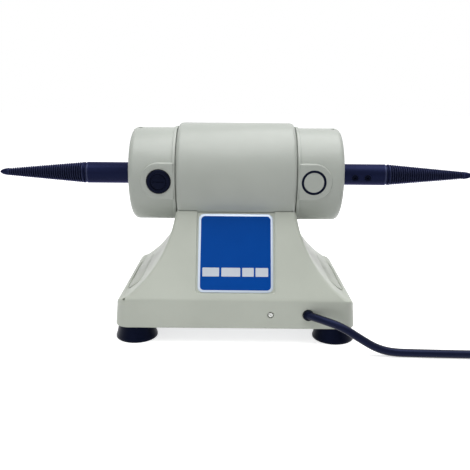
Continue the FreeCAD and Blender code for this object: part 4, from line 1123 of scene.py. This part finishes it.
for finish, nodes in (
        (rolled_steel, ("bottom_plate", "heat_sink")),
        (zinc, ("foot_screws", "motor_mount_screws", "wave_washer", "potentiometer_nut", "board_posts")),
        (screw_steel, ("left_set_screws", "right_set_screws")),
        (ground_steel, ("shaft", "potentiometer", "potentiometer_stem",
                        "left_bearing_outer_race", "left_bearing_inner_race", "left_bearing_ball_cage",
                        "right_bearing_outer_race", "right_bearing_inner_race", "right_bearing_ball_cage")),
        (lamination, ("armature_core",)),
        (copper, ("windings", "commutator", "brush_spring_front", "brush_spring_rear")),
        (ferrite, ("front_magnet", "rear_magnet")),
        (carbon, ("carbon_brush_front", "carbon_brush_rear")),
        (phenolic, ("brush_holder_front", "brush_holder_rear")),
        (laminate_board, ("control_board",))):
    for node in nodes:
        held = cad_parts[node].data.materials
        held.clear()
        held.append(finish)


# Floor and light

def straight_rays(tree):
    """1 for what the camera sees, straight, mirrored or through something clear, and 0 for diffuse light."""
    rays = add(tree, "ShaderNodeLightPath")
    seen = add(tree, "ShaderNodeMath", {0: rays.outputs["Is Camera Ray"], 1: rays.outputs["Is Glossy Ray"]},
               operation="MAXIMUM").outputs[0]
    return add(tree, "ShaderNodeMath", {0: seen, 1: rays.outputs["Is Transmission Ray"]},
               operation="MAXIMUM").outputs[0]


def make_stage():
    deselect()
    bpy.ops.mesh.primitive_plane_add(size=FLOOR_SIZE, location=(0, 0, 0))
    floor = bpy.context.object
    floor.name = "studio_floor"
    finish = bpy.data.materials.new("white_seamless_paper")
    finish.use_nodes = True
    tree = finish.node_tree
    tree.nodes.clear()
    seen = straight_rays(tree)
    paper = add(tree, "ShaderNodeBsdfDiffuse", {"Color": linear("#f2f2f2")})
    where = add(tree, "ShaderNodeTexCoord").outputs["Object"]
    away = add(tree, "ShaderNodeVectorMath", {0: where}, operation="LENGTH").outputs["Value"]
    strength = between(tree, away, GLOW_NEAR[0], GLOW_FAR[0], GLOW_NEAR[1], GLOW_FAR[1])
    glow = add(tree, "ShaderNodeEmission", {"Color": (1, 1, 1, 1), "Strength": strength})
    glowing = add(tree, "ShaderNodeAddShader")
    tree.links.new(paper.outputs[0], glowing.inputs[0])
    tree.links.new(glow.outputs[0], glowing.inputs[1])
    mix = add(tree, "ShaderNodeMixShader", {"Fac": seen})
    tree.links.new(paper.outputs[0], mix.inputs[1])
    tree.links.new(glowing.outputs[0], mix.inputs[2])
    add(tree, "ShaderNodeOutputMaterial", {"Surface": mix.outputs[0]})
    floor.data.materials.append(finish)


def lamp(name, at, aim, size, power):
    at, aim = Vector(at), Vector(aim)
    turn = (aim - at).to_track_quat("-Z", "Y").to_euler()
    bpy.ops.object.light_add(type="AREA", location=at, rotation=turn)
    light = bpy.context.object
    light.name = name
    light.data.shape = "RECTANGLE"
    light.data.size, light.data.size_y = size
    light.data.energy = power


def make_light():
    world = bpy.data.worlds.new("studio")
    bpy.context.scene.world = world
    world.use_nodes = True
    tree = world.node_tree
    tree.nodes.clear()
    seen = straight_rays(tree)
    dim = add(tree, "ShaderNodeBackground", {"Color": (0.97, 0.985, 1.0, 1), "Strength": WORLD_LIGHT})
    bright = add(tree, "ShaderNodeBackground", {"Color": (1, 1, 1, 1), "Strength": 1.0})
    mix = add(tree, "ShaderNodeMixShader", {"Fac": seen})
    tree.links.new(dim.outputs[0], mix.inputs[1])
    tree.links.new(bright.outputs[0], mix.inputs[2])
    add(tree, "ShaderNodeOutputWorld", {"Surface": mix.outputs[0]})
    for settings in LAMPS:
        lamp(*settings)


make_stage()
make_light()
bpy.context.scene.view_settings.view_transform = "Standard"
